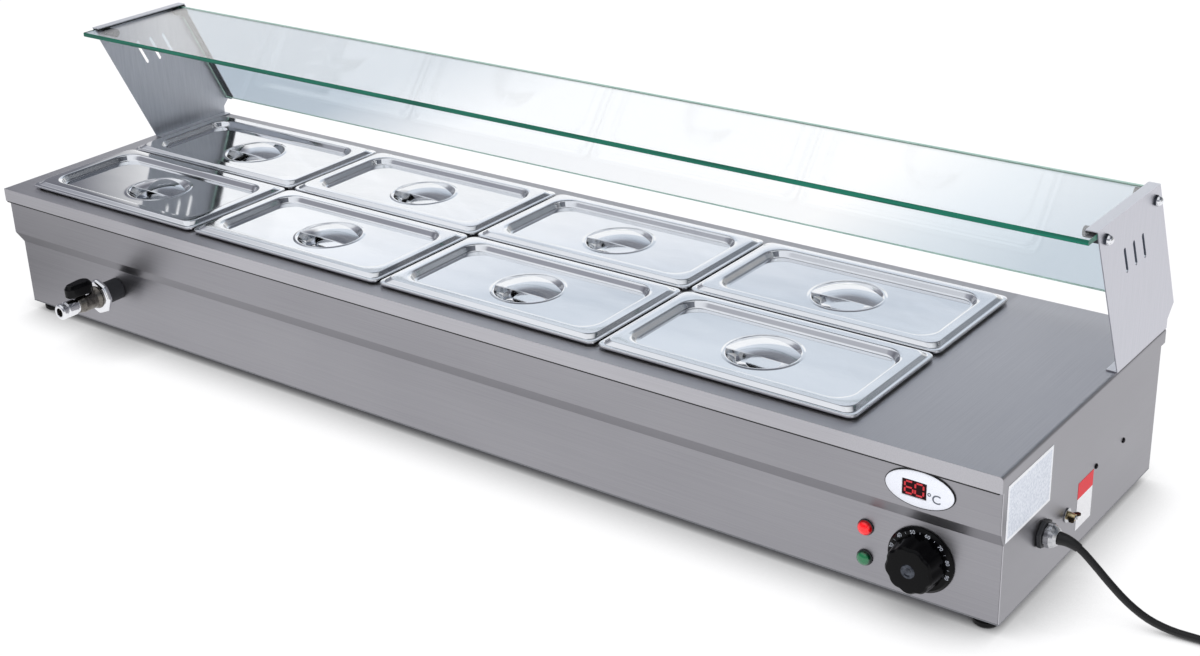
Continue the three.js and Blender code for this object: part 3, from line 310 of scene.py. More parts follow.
def grain_noise(tree: Tree, pitch: Point, detail: float, seed: float = 0.0) -> Node:
    """Noise whose grains are so many millimetres long, deep and high.

    Args:
        tree: The material's nodes.
        pitch: The size of a grain along X, Y and Z, in millimetres.
        detail: How many finer layers the noise has.
        seed: Moves the noise, so that two of them differ.

    Returns:
        The noise.
    """
    mapping = add_node(tree, "Mapping", {
        "Scale": tuple(1 / (mm * MM) for mm in pitch), "Location": (seed, seed, seed),
        "Vector": add_node(tree, "TexCoord").outputs["Object"]})
    return add_node(tree, "TexNoise", {
        "Scale": 1.0, "Detail": detail, "Roughness": 0.55, "Vector": mapping})


def facing(tree: Tree) -> Node:
    """The way that the surface faces, in three outputs."""
    return add_node(tree, "SeparateXYZ", {0: add_node(tree, "TexCoord").outputs["Normal"]})


def coloured(tree: Tree, factor: Feed, stops: Stops) -> Node:
    """A colour that passes through stops.

    Args:
        tree: The nodes.
        factor: What the colour follows, from 0 to 1.
        stops: The place and the hex code of each stop, in order.

    Returns:
        The ramp.
    """
    made = add_node(tree, "ValToRGB", {"Fac": factor})
    elements = made.color_ramp.elements
    for element, (place, code) in zip(elements, (stops[0], stops[-1])):
        element.position, element.color = place, linear(code)
    for place, code in stops[1:-1]:
        elements.new(place).color = linear(code)
    return made


@dataclass(frozen=True)
class Finish:
    """A finish of the warmer, and the record's slot for it: one grain drives all of its looks."""

    name: str
    slot: str
    colour: str
    shade_colour: str = WHITE
    roughness: float = 0.5
    pitch: Point = (5.0, 5.0, 5.0)  # the size of its grain, in millimetres
    detail: float = 3.0
    swing: float = 0.05  # how far its roughness swings
    depth: float = 0.0  # of its bump, in millimetres
    strength: float = 0.5

    def material(self) -> bpy.types.Material:
        """The finish's material, made the first time that it is asked for."""
        made = bpy.data.materials.get(self.name)
        if made is None:
            made = bpy.data.materials.new(self.name)
            tree = cleared(made)
            add_node(tree, "OutputMaterial", {"Surface": self.shade(tree)})
            made.diffuse_color = linear(self.colour)
        return made

    def shade(self, tree: Tree) -> Node:
        """Builds the finish's nodes.

        Args:
            tree: The material's nodes.

        Returns:
            Its shader.
        """
        grain = self.grain(tree)
        looks = {"Base Color": self.tint(tree, grain), "Roughness": add_node(tree, "MapRange", {
            "From Min": GRAIN[0], "From Max": GRAIN[1], "To Min": self.roughness - self.swing,
            "To Max": self.roughness + self.swing, "Value": grain})}
        if self.depth:
            looks["Normal"] = add_node(tree, "Bump", {
                "Strength": self.strength, "Distance": self.depth * MM,
                "Height": self.relief(tree, grain)})
        return add_node(tree, "BsdfPrincipled", looks | self.settings(tree))

    def grain(self, tree: Tree) -> Feed:
        """The noise that its looks follow."""
        return grain_noise(tree, self.pitch, self.detail)

    def tint(self, tree: Tree, grain: Feed) -> Feed:
        """Its colour: the two codes, mixed by the grain."""
        return coloured(tree, grain, ((GRAIN[0], self.shade_colour), (GRAIN[1], self.colour)))

    def relief(self, tree: Tree, grain: Feed) -> Feed:
        """The height that its bump follows: the grain."""
        return grain

    def settings(self, tree: Tree) -> dict:
        """The shader's other inputs: those of a metal."""
        return {"Metallic": 1.0}


class Brushing(Enum):
    """The way that a surface's brushing runs."""

    LENGTHWISE = (1, 0, 0)
    FRONT_TO_BACK = (0, 1, 0)


@dataclass(frozen=True)
class BrushedSteel(Finish):
    """Stainless sheet brushed with a belt: fine streaks that blur what it mirrors across them."""

    roughness: float = 0.36
    detail: float = 5.0
    swing: float = 0.06
    depth: float = 0.012
    way: Brushing = Brushing.LENGTHWISE
    streak_length: float = 140.0
    streak_pitch: float = 1.1  # the real lines are some 0.1 mm apart, drawn wider so that they show
    cloud_size: Point = (260, 260, 120)
    painted_shade_colour: str = "#5f5e64"  # painted shade: faces that point down, such as the chamfer over the lower panel, are drawn darker
    bend_painted_shade: float = 0.42
    end_wall_painted_shade: float = 0.0

    def streaks(self, tree: Tree, way: Brushing) -> Node:
        """Noise drawn out along a way."""
        pitch = tuple(self.streak_length if share else self.streak_pitch for share in way.value)
        return grain_noise(tree, pitch, self.detail)

    def grain(self, tree: Tree) -> Feed:
        """The brushing."""
        return self.streaks(tree, self.way)

    def tint(self, tree: Tree, grain: Feed) -> Feed:
        """Its colour: streaked, a little clouded, and with painted shade on downward faces and the
        end wall.

        Args:
            tree: The material's nodes.
            grain: The brushing.

        Returns:
            The colour.
        """
        clouds = grain_noise(tree, self.cloud_size, 2.0, 7.0)
        both = add_node(tree, "Mix", {"Factor": 0.35, "A": grain, "B": clouds})
        faced = facing(tree).outputs
        # painted shade: faces that point down, and the end wall that faces +X, are mixed towards a
        # darker colour
        bend = add_node(tree, "MapRange", {"From Min": -0.2, "From Max": -0.4,
                                           "To Max": self.bend_painted_shade, "Value": faced["Z"]})
        end = add_node(tree, "MapRange", {"From Min": 0.5, "From Max": 0.9,
                                          "To Max": self.end_wall_painted_shade, "Value": faced["X"]})
        painted_shade_share = add_node(tree, "Math", {"operation": "MAXIMUM", 0: bend, 1: end})
        return add_node(tree, "Mix", {
            "data_type": "RGBA", "Factor": painted_shade_share, "A": super().tint(tree, both),
            "B": linear(self.painted_shade_colour)})

    def settings(self, tree: Tree) -> dict:
        """The shader's other inputs: those of a metal that blurs across its grain."""
        return {"Metallic": 1.0, "Anisotropic": 0.55, "Anisotropic Rotation": 0.25,
                "Tangent": self.along(tree)}

    def along(self, tree: Tree) -> Node:
        """The way of the brushing, as a vector."""
        return add_node(tree, "CombineXYZ", dict(enumerate(self.way.value)))


@dataclass(frozen=True)
class DeckSteel(BrushedSteel):
    """The deck's sheet: brushed along the front strip, and front to back past the last pan."""

    change_at: float = 579.0  # millimetres to the right of the middle
    change_width: float = 8.0
    # painted shade: the right end wall is drawn darker than the deck's top
    end_wall_painted_shade: float = 0.45

    def side(self, tree: Tree) -> Node:
        """0 along the pans and 1 to the right of them.

        Args:
            tree: The material's nodes.

        Returns:
            The level.
        """
        place = add_node(tree, "SeparateXYZ", {0: add_node(tree, "TexCoord").outputs["Object"]})
        return add_node(tree, "MapRange", {
            "From Min": (self.change_at - self.change_width / 2) * MM,
            "From Max": (self.change_at + self.change_width / 2) * MM,
            "Value": place.outputs["X"]})

    def grain(self, tree: Tree) -> Feed:
        """The brushing, which changes its way."""
        return add_node(tree, "Mix", {
            "Factor": self.side(tree), "A": self.streaks(tree, Brushing.LENGTHWISE),
            "B": self.streaks(tree, Brushing.FRONT_TO_BACK)})

    def along(self, tree: Tree) -> Node:
        """The way of the brushing, as a vector."""
        side = self.side(tree)
        rest = add_node(tree, "Math", {"operation": "SUBTRACT", 0: 1.0, 1: side})
        return add_node(tree, "CombineXYZ", {"X": rest, "Y": side})


@dataclass(frozen=True)
class PolishedSteel(Finish):
    """Stainless sheet pressed and polished bright: a near mirror with faint wipe marks."""

    pitch: Point = (120, 34, 40)
    detail: float = 2.0
    swing: float = 0.02
    depth: float = 0.02  # how far the pressing leaves the sheet uneven
    ripple: Point = (90, 60, 40)

    def relief(self, tree: Tree, grain: Feed) -> Feed:
        """The height that its bump follows: wide ripples of their own."""
        return grain_noise(tree, self.ripple, 0.0, 3.0)


@dataclass(frozen=True)
class SatinSteel(Finish):
    """Stainless sheet with an even satin grain, paler than the brushed housing."""

    roughness: float = 0.42
    pitch: Point = (1.2, 2.4, 40)
    depth: float = 0.008
    strength: float = 0.4
    top_painted_light_colour: str = "#fafafe"  # painted light: a fold's upper face is drawn paler, as if in full light

    def tint(self, tree: Tree, grain: Feed) -> Feed:
        """Its colour: the two codes by the grain, and painted light making it pale where it faces
        up.

        Args:
            tree: The material's nodes.
            grain: The satin grain.

        Returns:
            The colour.
        """
        painted_light_share = add_node(tree, "MapRange", {"From Min": 0.5, "From Max": 0.9, "To Max": 0.8,
                                             "Value": facing(tree).outputs["Z"]})
        return add_node(tree, "Mix", {
            "data_type": "RGBA", "Factor": painted_light_share, "A": super().tint(tree, grain),
            "B": linear(self.top_painted_light_colour)})


@dataclass(frozen=True)
class PlatedMetal(Finish):
    """Plated or plain metal of small fittings: smooth, with slight handling marks."""

    detail: float = 4.0
    swing: float = 0.04
    depth: float = 0.01
    strength: float = 0.4


@dataclass(frozen=True)
class Moulding(Finish):
    """Moulded plastic or rubber: a fine spark-eroded grain and a soft or a glossy skin."""

    pitch: Point = (0.9, 0.9, 0.9)  # the real grain is some 0.1 mm, drawn coarser so that it shows
    swing: float = 0.06
    depth: float = 0.01
    coat: float = 0.0
    sheen: float = 0.5  # the level of its plain reflection: 0.5 is what its IOR gives

    def settings(self, tree: Tree) -> dict:
        """The shader's other inputs: those of a plastic."""
        return {"IOR": 1.5, "Coat Weight": self.coat, "Coat Roughness": 0.08,
                "Specular IOR Level": self.sheen}


@dataclass(frozen=True)
class Lens(Finish):
    """Clear coloured lens over a lamp, glossy, with painted light: bright where it faces the front,
    and painted shade deep at its rim.
    """

    glow: float = 0.0

    def shade(self, tree: Tree) -> Node:
        """Builds the finish's nodes.

        Args:
            tree: The material's nodes.

        Returns:
            Its shader.
        """
        # painted highlight and shade: the colour runs from the dark rim code to the bright one as
        # the lens turns to face the front
        forward_painted_light = add_node(tree, "MapRange", {"From Min": -0.25, "From Max": -0.95,
                                              "Value": facing(tree).outputs["Y"]})
        colour = self.tint(tree, forward_painted_light)
        return add_node(tree, "BsdfPrincipled", {
            "IOR": 1.49, "Roughness": 0.12, "Coat Weight": 0.6, "Coat Roughness": 0.05,
            "Emission Strength": self.glow, "Base Color": colour, "Emission Color": colour})


@dataclass(frozen=True)
class PaneFace(Finish):
    """The faces of a float glass pane: nearly clear, mirroring at a slant."""

    pitch: Point = (160, 90, 90)

    def shade(self, tree: Tree) -> Node:
        """Builds the finish's nodes.

        Args:
            tree: The material's nodes.

        Returns:
            Its shader.
        """
        waves = add_node(tree, "Bump", {"Strength": 0.3, "Distance": 0.004 * MM,
                                        "Height": grain_noise(tree, self.pitch, 0.0)})
        glass = add_node(tree, "BsdfPrincipled", {
            "IOR": 1.5, "Transmission Weight": 1.0, "Roughness": 0.0,
            "Base Color": linear(self.colour), "Normal": waves})
        clear = add_node(tree, "BsdfTransparent", {"Color": linear("#fafcfc")})
        shadow = add_node(tree, "LightPath").outputs["Is Shadow Ray"]
        return add_node(tree, "MixShader", {0: shadow, 1: glass, 2: clear})


@dataclass(frozen=True)
class PaneEdge(Finish):
    """The ground edge of a pane: the glass's own green, deep because it is seen along the pane."""

    roughness: float = 0.2
    pitch: Point = (90, 3, 3)
    detail: float = 2.0
    swing: float = 0.0

    def settings(self, tree: Tree) -> dict:
        """The shader's other inputs: those of glass, its gloss dulled by the grinding."""
        return {"IOR": 1.5, "Specular IOR Level": 0.25}


@dataclass(frozen=True)
class Printed(Finish):
    """Flat print or lit ink: an even colour with a paper's or a foil's faint mottle."""

    pitch: Point = (2.5, 2.5, 2.5)
    glow: float = 0.0

    def settings(self, tree: Tree) -> dict:
        """The shader's other inputs: those of ink, lit or not."""
        return {"IOR": 1.5, "Emission Strength": self.glow, "Emission Color": linear(self.colour)}


class Stock:
    """The finishes of the warmer, by what they are on."""

    deck = DeckSteel("brushed_stainless_deck", "housing_steel", "#c7c6ca", "#b2b1b6")
    front = BrushedSteel("brushed_stainless_front", "housing_steel", "#a9a8ac", "#97969b")
    end = BrushedSteel("brushed_stainless_end", "housing_steel", "#9a9aa0", "#86878d",
                       way=Brushing.FRONT_TO_BACK)
    inner = BrushedSteel("mill_finish_stainless", "inner_steel", "#94959a", "#83858a", 0.42,
                         depth=0.006)
    divider = SatinSteel("satin_stainless_bars", "divider_steel", "#c6c7cb", "#adaeb3")
    pan = PolishedSteel("polished_stainless_pans", "pan_steel", "#d5d8dc", "#bcc0c5", 0.16)
    # painted shade: the bead under each pan's rim is drawn near black for the shade in the gap
    # under the lid's edge
    pan_bead_painted_shade = PlatedMetal("bead_under_rim_painted_shade", "pan_steel", "#1d1d20", "#101012", 0.5)
    lid = PolishedSteel("mirror_stainless_lids", "lid_steel", "#f8f9fb", "#f0f2f5", 0.07)
    guard = SatinSteel("satin_stainless_guard", "guard_steel", "#d8d8df", "#cccdd4")
    # painted shade: the guard's steel drawn much darker, for the shade inside the slots
    slot_lip_painted_shade = SatinSteel("slot_lips_painted_shade", "guard_steel", "#757d89", "#666e7a")
    # painted shade: the left plate, whose inner face shows, is a darker copy of the guard's steel
    left_guard_painted_shade = SatinSteel("satin_stainless_left_guard_painted_shade", "guard_steel", "#cdd1d9", "#bec3cc")
    pane = PaneFace("float_glass_face", "pane_glass", "#fdfeff")
    pane_edge = PaneEdge("float_glass_edge", "pane_glass", "#0b705a", "#045444")
    pane_edge_ground = PaneEdge("ground_glass_edge", "pane_glass", "#b9d6cd", "#a6c8be")
    seal = Moulding("black_rubber_seal", "seal_rubber", "#141415", "#080809", 0.65)
    foot = Moulding("black_rubber_foot", "foot_rubber", "#070708", "#040405", 0.6, sheen=0.2)
    chrome = PlatedMetal("bright_chrome", "bright_chrome", "#e8eaee", "#cfd2d8", 0.07)
    satin_nickel = PlatedMetal("satin_nickel_valve", "bright_chrome", "#8a8680", "#5e5a56", 0.3)
    smoked = PlatedMetal("dark_chrome_cap", "bright_chrome", "#5a5e66", "#2e3036", 0.12)
    sheath = PlatedMetal("oxidised_heater_sheath", "element_sheath", "#5f5c58", "#423f3c", 0.5)
    knob = Moulding("gloss_black_phenolic", "knob_plastic", "#040405", "#020203", 0.2, sheen=0.12)
    lever = Moulding("gloss_black_nylon", "lever_plastic", "#040405", "#020203", 0.18, sheen=0.2)
    dark = Moulding("dark_grey_nylon", "dark_plastic", "#2f3034", "#1f2023", 0.5)
    red = Lens("red_lamp_lens", "red_lens", "#e00c16", "#8c0408", glow=0.3)
    green = Lens("green_lamp_lens", "green_lens", "#176e44", "#052c1a")
    bezel = Moulding("silver_grey_bezel", "bezel_plastic", "#e4e6ee", "#d8dbe4", 0.3, coat=0.3)
    window = Moulding("smoked_red_window", "window_plastic", "#2a0c0f", "#1a0709", 0.2, sheen=0.1)
    segment = Printed("lit_red_segments", "window_plastic", "#b0202a", "#98161f", 0.4, glow=0.45)
    numeral = Printed("pale_printed_numerals", "knob_plastic", "#a9adb6", "#8f939c", 0.45)
    grey_ink = Printed("grey_printed_letters", "bezel_plastic", "#5f6470", "#4e535e")
    nickel = PlatedMetal("nickel_plated_brass", "nickel_metal", "#d3d4d6", "#b3b4b7", 0.22)
    bore = Moulding("shadowed_bore", "nickel_metal", "#1c1614", "#0f0c0b", 0.7)
    brass = PlatedMetal("satin_brass_nut", "wing_brass", "#e6d6ae", "#c8b07a", 0.25)
    dark_brass = PlatedMetal("dark_brass_wings", "wing_brass", "#4a4030", "#221d16", 0.35)
    lead = Moulding("black_rubber_lead", "lead_rubber", "#131314", "#09090a", 0.5)
    plate = Printed("blank_silver_foil", "housing_steel", "#e9edf5", "#c2c9d6", 0.4)
    plate_edge = Printed("white_foil_border", "housing_steel", "#f4f5f8", "#e8eaf0", 0.4)
    paper = Printed("white_sticker", "housing_steel", "#fafafc", "#eeeef2")
    # painted light: the red band glows a little though it is plain ink
    red_ink_painted_glow = Printed("red_sticker_band_painted_glow", "housing_steel", "#e01428", "#cc0c1e", glow=0.1)
    black_screw = PlatedMetal("blackened_screw", "housing_steel", "#2c2a2e", "#151417", 0.4)


# Pieces


def add_object(name: str, data: bpy.types.ID) -> bpy.types.Object:
    """A new object in the scene."""
    made = bpy.data.objects.new(name, data)
    bpy.context.scene.collection.objects.link(made)
    return made


@dataclass
class Piece:
    """How a form becomes a piece of the warmer."""

    name: str
    body: str = "root"
    replaces: tuple[str, ...] = ()
    at: Point = (0, 0, 0)
    bevel: float = 0.0

    def make(self, form: Form | bpy.types.Mesh, *finishes: Finish) -> bpy.types.Object:
        """Builds the piece.

        Args:
            form: The piece's form in millimetres, or a mesh in metres, which others may share.
            finishes: The finishes that the form's faces name by their place here.

        Returns:
            The piece, riding on its body.
        """
        data = form.mesh(self.name) if isinstance(form, Form) else form
        if not data.materials:
            for finish in finishes:
                data.materials.append(finish.material())
        made = add_object(self.name, data)
        made.location = Vector(self.at) * MM
        if self.bevel:
            round_edges(made, self.bevel)
        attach(made, self.body)
        if self.replaces:
            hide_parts(*self.replaces)
        log.info("piece %s rides on %s, %d faces", self.name, self.body, len(data.polygons))
        return made


@dataclass
class StandIn(Piece):
    """A piece that takes the place of the CAD node of its own name."""

    def __post_init__(self) -> None:
        """Names the node that the piece replaces."""
        self.replaces = (self.name,)


def round_edges(piece: bpy.types.Object, width: float) -> None:
    """Rounds a piece's sharp edges by a width in millimetres, as pressed or moulded edges are.

    Args:
        piece: The piece.
        width: The width of the rounding.
    """
    bevel = piece.modifiers.new("rounded_edges", "BEVEL")
    bevel.width = width * MM
    bevel.segments = 2
    bevel.limit_method = "ANGLE"
    bevel.angle_limit = math.radians(30)


def dress(nodes: Nodes, looks: Sequence[tuple[str, Finish, float]]) -> None:
    """Gives CAD nodes their finish, and rounds their edges where they show.

    Args:
        nodes: The frame's nodes.
        looks: Each node's name, its finish and its edges' rounding in millimetres, or 0.
    """
    for name, finish, edge in looks:
        node = nodes[name]
        node.data.materials.clear()
        node.data.materials.append(finish.material())
        if edge:
            round_edges(node, edge)
        log.info("node %s keeps its shape, in %s", name, finish.name)


@dataclass(frozen=True)
class Span:
    """The box of a CAD node at rest, in millimetres."""

    low: Vector
    high: Vector

    @classmethod
    def of(cls, node: str) -> "Span":
        """The box of a node."""
        low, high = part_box(node)
        return cls(low / MM, high / MM)

    @property
    def middle(self) -> Vector:
        """The middle of the box."""
        return (self.low + self.high) / 2


# Sub-assemblies


@dataclass
class Housing:
    """Deck, walls, base and feet, with what is fixed to the right end wall."""

    foot_section: tuple[Flat, ...] = (  # radius and height
        (0, 0), (12.4, 0), (14.6, 2.6), (14.6, 7), (13.6, 7.6), (13.6, 9), (15, 9.6), (15, 12.7),
        (0, 12.7))
    rim_height: float = 18.0
    bead_section: tuple[Flat, ...] = (  # behind the rim's face, and above its lower edge
        (3.7, -2.4), (1, -2.4), (1, 0), (3.7, 0))
    bead_stop: float = 4.0  # how far from the deck's other sides the bead ends
    sheet_gap: float = 0.02
    # name, finish, back from the front, down from the top, length, height, thickness, rounding
    sheets: tuple[tuple, ...] = (
        ("rating_plate_blank", Stock.plate_edge, 13, 15, 103, 64, 0.5, 0.15),
        ("rating_plate_field", Stock.plate, 16.6, 18.6, 95.8, 56.8, 0.6, 0),
        ("sticker_lower", Stock.paper, 191, 114.38, 39, 37.62, 0.25, 0),
        ("sticker_band", Stock.red_ink_painted_glow, 191, 95, 39, 19.38, 0.25, 0))
    screw_places: tuple[Flat, ...] = ((236.0, 94.4), (310.0, 96.0))
    screw_section: tuple[Flat, ...] = ((0, 0.1), (3.2, 0.1), (3.2, 0.8), (1.6, 1.9), (0, 2))

    def build(self, nodes: Nodes) -> None:
        """Dresses the housing's nodes and adds its small pieces.

        Args:
            nodes: The frame's nodes.
        """
        dress(nodes, (("deck", Stock.deck, 0.6), ("front_panel", Stock.front, 0.6),
                      ("left_panel", Stock.end, 0.6), ("back_panel", Stock.front, 0.3),
                      ("base_plate", Stock.inner, 0.2)))
        for corner in ("front_left", "front_right", "back_left", "back_right"):
            place = Span.of(f"foot_{corner}").middle
            StandIn(f"foot_{corner}", at=(place.x, place.y, 0)).make(
                Form().turned(filleted(self.foot_section, 0.8), 40), Stock.foot)
        deck = Span.of("deck")
        self.rim_shadow_bead(deck)
        self.end_wall(deck)

    def rim_shadow_bead(self, deck: Span) -> None:
        """A slim dark bead under the deck's rim, along the front and the left end: painted shadow
        for the shade gap under the rim.

        Args:
            deck: The deck's box.
        """
        left, front, low = deck.low.x, deck.low.y, deck.high.z - self.rim_height
        path = [(deck.high.x - self.bead_stop, front, 0, 1), (left, front, 1, 1),
                (left, deck.high.y - self.bead_stop, 1, 0)]
        section = filleted(self.bead_section, 0.5)
        rings = [[(x + inset * right, y + inset * back, low + z) for inset, z in section]
                 for x, y, right, back in path]
        # painted shadow: a strip in black rubber stands for the shade under the rim
        Piece("rim_shadow_bead").make(Form().skin(rings), Stock.seal)

    def end_wall(self, deck: Span) -> None:
        """The blank rating plate, the sticker and two screws on the right end wall.

        Args:
            deck: The deck's box.
        """
        face, front, top = deck.high.x, deck.low.y, deck.high.z
        for name, finish, y, drop, length, height, thickness, bevel in self.sheets:
            form = Form().box((face + self.sheet_gap, front + y, top - drop - height),
                              (face + thickness, front + y + length, top - drop))
            Piece(name, bevel=bevel).make(form, finish)
        for order, (y, drop) in enumerate(self.screw_places, 1):
            Piece(f"end_screw_{order}").make(
                Form().turned(filleted(self.screw_section, 0.5), 24, Way.X,
                              (face, front + y, top - drop)), Stock.black_screw)


@dataclass
class Bath:
    """What is under the pans: tank, heating element and the bars between the pans."""

    def build(self, nodes: Nodes) -> None:
        """Dresses the bath's nodes.

        Args:
            nodes: The frame's nodes.
        """
        bars = ("long_divider", "cross_divider_1", "cross_divider_2", "cross_divider_3")
        dress(nodes, (("water_tank", Stock.inner, 0.0), ("heating_element", Stock.sheath, 0.0),
                      *((bar, Stock.divider, 0.3) for bar in bars),
                      ("tap_pipe", Stock.nickel, 0.2), ("thermostat_body", Stock.dark, 0.3)))


@dataclass
class Tray:
    """Sizes that the pans and their lids share."""

    count: int = 8
    length: float = 325.0
    width: float = 177.0
    corner_steps: int = 15

    def ring(self, inset: float, height: float, radius: float) -> Ring:
        """A level ring, drawn in from the full outline."""
        return tray_ring(self.length, self.width, inset, height, radius, self.corner_steps)

    def build_all(self, kind: str, form: Form, rise: float, *finishes: Finish) -> None:
        """Builds the eight from one mesh.

        Args:
            kind: The nodes' name before their number.
            form: The form of one.
            rise: How far its origin lies above the top of its pan.
            finishes: Its finishes.
        """
        shared = form.mesh(kind, 40)
        for n in range(1, self.count + 1):
            pan = Span.of(f"pan_{n}")
            at = (pan.middle.x, pan.middle.y, pan.high.z + rise)
            StandIn(f"{kind}_{n}", f"{kind}_{n}", at=at).make(shared, *finishes)


@dataclass
class Pans(Tray):
    """The eight pans: a flat rim with a turned-down edge, leaning sides and a rounded floor."""

    corner: float = 14.0
    depth: float = 100.0
    sheet: float = 1.0
    rim: float = 11.0
    lip: float = 4.0
    draft: float = 9.0
    body_corner: float = 26.0
    floor_radius: float = 8.0
    edge_gap: float = 2.4
    bead: Flat = (2.6, 4.2)  # the bead under the rim that the pan stands on

    def form(self) -> Form:
        """One pan, its origin at the level of the deck under its rim."""
        floor = self.lip - self.depth
        foot = self.rim + self.draft
        middle, sheet, under = foot + self.floor_radius * 3, self.sheet, self.lip - self.sheet
        outer = [(middle, floor), (foot, floor), (self.rim, under), (sheet, under),
                 (sheet, self.edge_gap)]
        inner = [(0, self.edge_gap), (0, self.lip), (self.rim + sheet, self.lip),
                 (foot + sheet, floor + sheet), (middle, floor + sheet)]
        path = filleted(outer[:3], self.floor_radius)[:-1] + filleted(outer[2:], 0.8)
        rings = []
        for inset, height in path + filleted(inner, 1.6):
            share = min(1.0, max(0.0, inset / self.rim))
            corner = self.corner + (self.body_corner - self.corner - min(inset, self.rim)) * share
            rings.append(self.ring(inset, height, max(corner, 6)))
        out, back = self.bead
        top = self.lip - sheet / 2
        bead = [(out, 0.4), (out, top), (back, top), (back, 0.4), (back - 0.4, 0), (out + 0.4, 0)]
        # the bead takes the second finish: painted shade
        return Form().skin(rings).skin([self.ring(i, z, self.corner - i) for i, z in bead], 1, True)

    def build(self) -> None:
        """Builds the pans."""
        self.build_all("pan", self.form(), -self.lip, Stock.pan, Stock.pan_bead_painted_shade)


@dataclass
class Lids(Tray):
    """The eight pressed lids: border, sunken panel, round dish and a crowned strap over it."""

    overhang: float = 1.5
    edge_drop: float = 1.8
    lid_corner: float = 10.0
    border_corner: float = 26.0
    sheet: float = 1.0
    lip: float = 4.5
    shoulder: float = 4.0
    rise: float = 4.0
    border: float = 13.0
    slope: float = 5.4
    recess: float = 8.0
    panel_corner: float = 20.0
    dish_radius: float = 39.0
    dish_depth: float = 13.0
    collar: float = 8.0
    collar_rise: float = 1.0
    strap_width: float = 46.0
    strap_end_width: float = 22.0
    strap_rise: float = 8.0
    strap_crown: float = 2.0
    strap_sheet: float = 1.2
    strap_steps: tuple[int, int] = (36, 12)  # along and across

    @property
    def panel_top(self) -> float:
        """The height of the sunken panel's top face."""
        return self.sheet + self.rise - self.recess

    @property
    def border_end(self) -> float:
        """How far in the border's inner edge lies."""
        return self.lip + self.shoulder + self.border

    def corner_at(self, inset: float) -> float:
        """The plan radius of the corners at an inset: wide at the border's inner edge.

        Args:
            inset: How far in the corner lies.

        Returns:
            The radius.
        """
        if inset <= self.border_end:
            share = min(1.0, max(0.0, (inset - self.lip) / (self.border_end - self.lip)))
            return self.lid_corner + (self.border_corner - self.lid_corner) * share
        share = min(1.0, (inset - self.border_end) / self.slope)
        return self.border_corner + (self.panel_corner - self.border_corner) * share

    def border_path(self) -> list[Flat]:
        """The top face seen end on, from the edge to the panel: inset and height."""
        top, end = self.sheet + self.rise, self.border_end
        foot, flat = end + self.slope, 5
        edge = filleted([(0, -self.edge_drop), (0, self.sheet), (self.lip, self.sheet),
                         (self.lip + self.shoulder, top), (end - flat, top)], 2.6, 6)
        return edge[:-1] + filleted([(end - flat, top), (end, top), (foot, self.panel_top),
                                     (foot + flat, self.panel_top)], 7.0, 9)

    def dish_path(self) -> list[Flat]:
        """The top face from the panel to the middle of the dish: radius and height."""
        panel, r, collar, depth = self.panel_top, self.dish_radius, self.collar, self.dish_depth
        return filleted([(r + collar + 3, panel), (r + collar, panel),
                         (r + collar / 2, panel + self.collar_rise), (r, panel - depth / 6),
                         (r * 4 / 5, panel - depth * 3 / 4), (r / 2, panel - depth),
                         (2, panel - depth)], 4.0, 5)

    def strap_rings(self) -> list[Ring]:
        """Sections of the strap, lens-shaped in plan and crowned both ways."""
        reach = self.dish_radius + self.collar * 3 / 4
        seat = self.panel_top - self.sheet / 2
        steps, across = self.strap_steps
        shares = [side / across * 2 - 1 for side in range(across + 1)]
        rings = []
        for t in (step / steps * 2 - 1 for step in range(steps + 1)):
            bow = 1 - t * t
            half = (self.strap_end_width + (self.strap_width - self.strap_end_width) * bow) / 2
            crest = seat + (self.strap_rise + self.sheet) * bow
            top = [(t * reach, s * half, crest - self.strap_crown * bow * s * s) for s in shares]
            rings.append(top + [(x, y, z - self.strap_sheet) for x, y, z in reversed(top)])
        return rings

    def form(self) -> Form:
        """One lid, its origin at the underside of its edge."""
        sides = 4 * (self.corner_steps + 1)

        def sheet_rings(thickness: float) -> list[Ring]:
            """The rings of the face that lies so far under the top one."""
            tray = [self.ring(i - self.overhang, z, self.corner_at(i))
                    for i, z in offset(self.border_path(), -thickness)]
            return tray + [[(x, y, z) for x, y in circle(r, sides, 180 / sides - 90)]
                           for r, z in offset(self.dish_path(), thickness)]

        rings = sheet_rings(self.sheet)[::-1] + sheet_rings(0.0)
        return Form().skin(rings).skin(self.strap_rings())

    def build(self) -> None:
        """Builds the lids."""
        self.build_all("lid", self.form(), SEAT, Stock.lid)


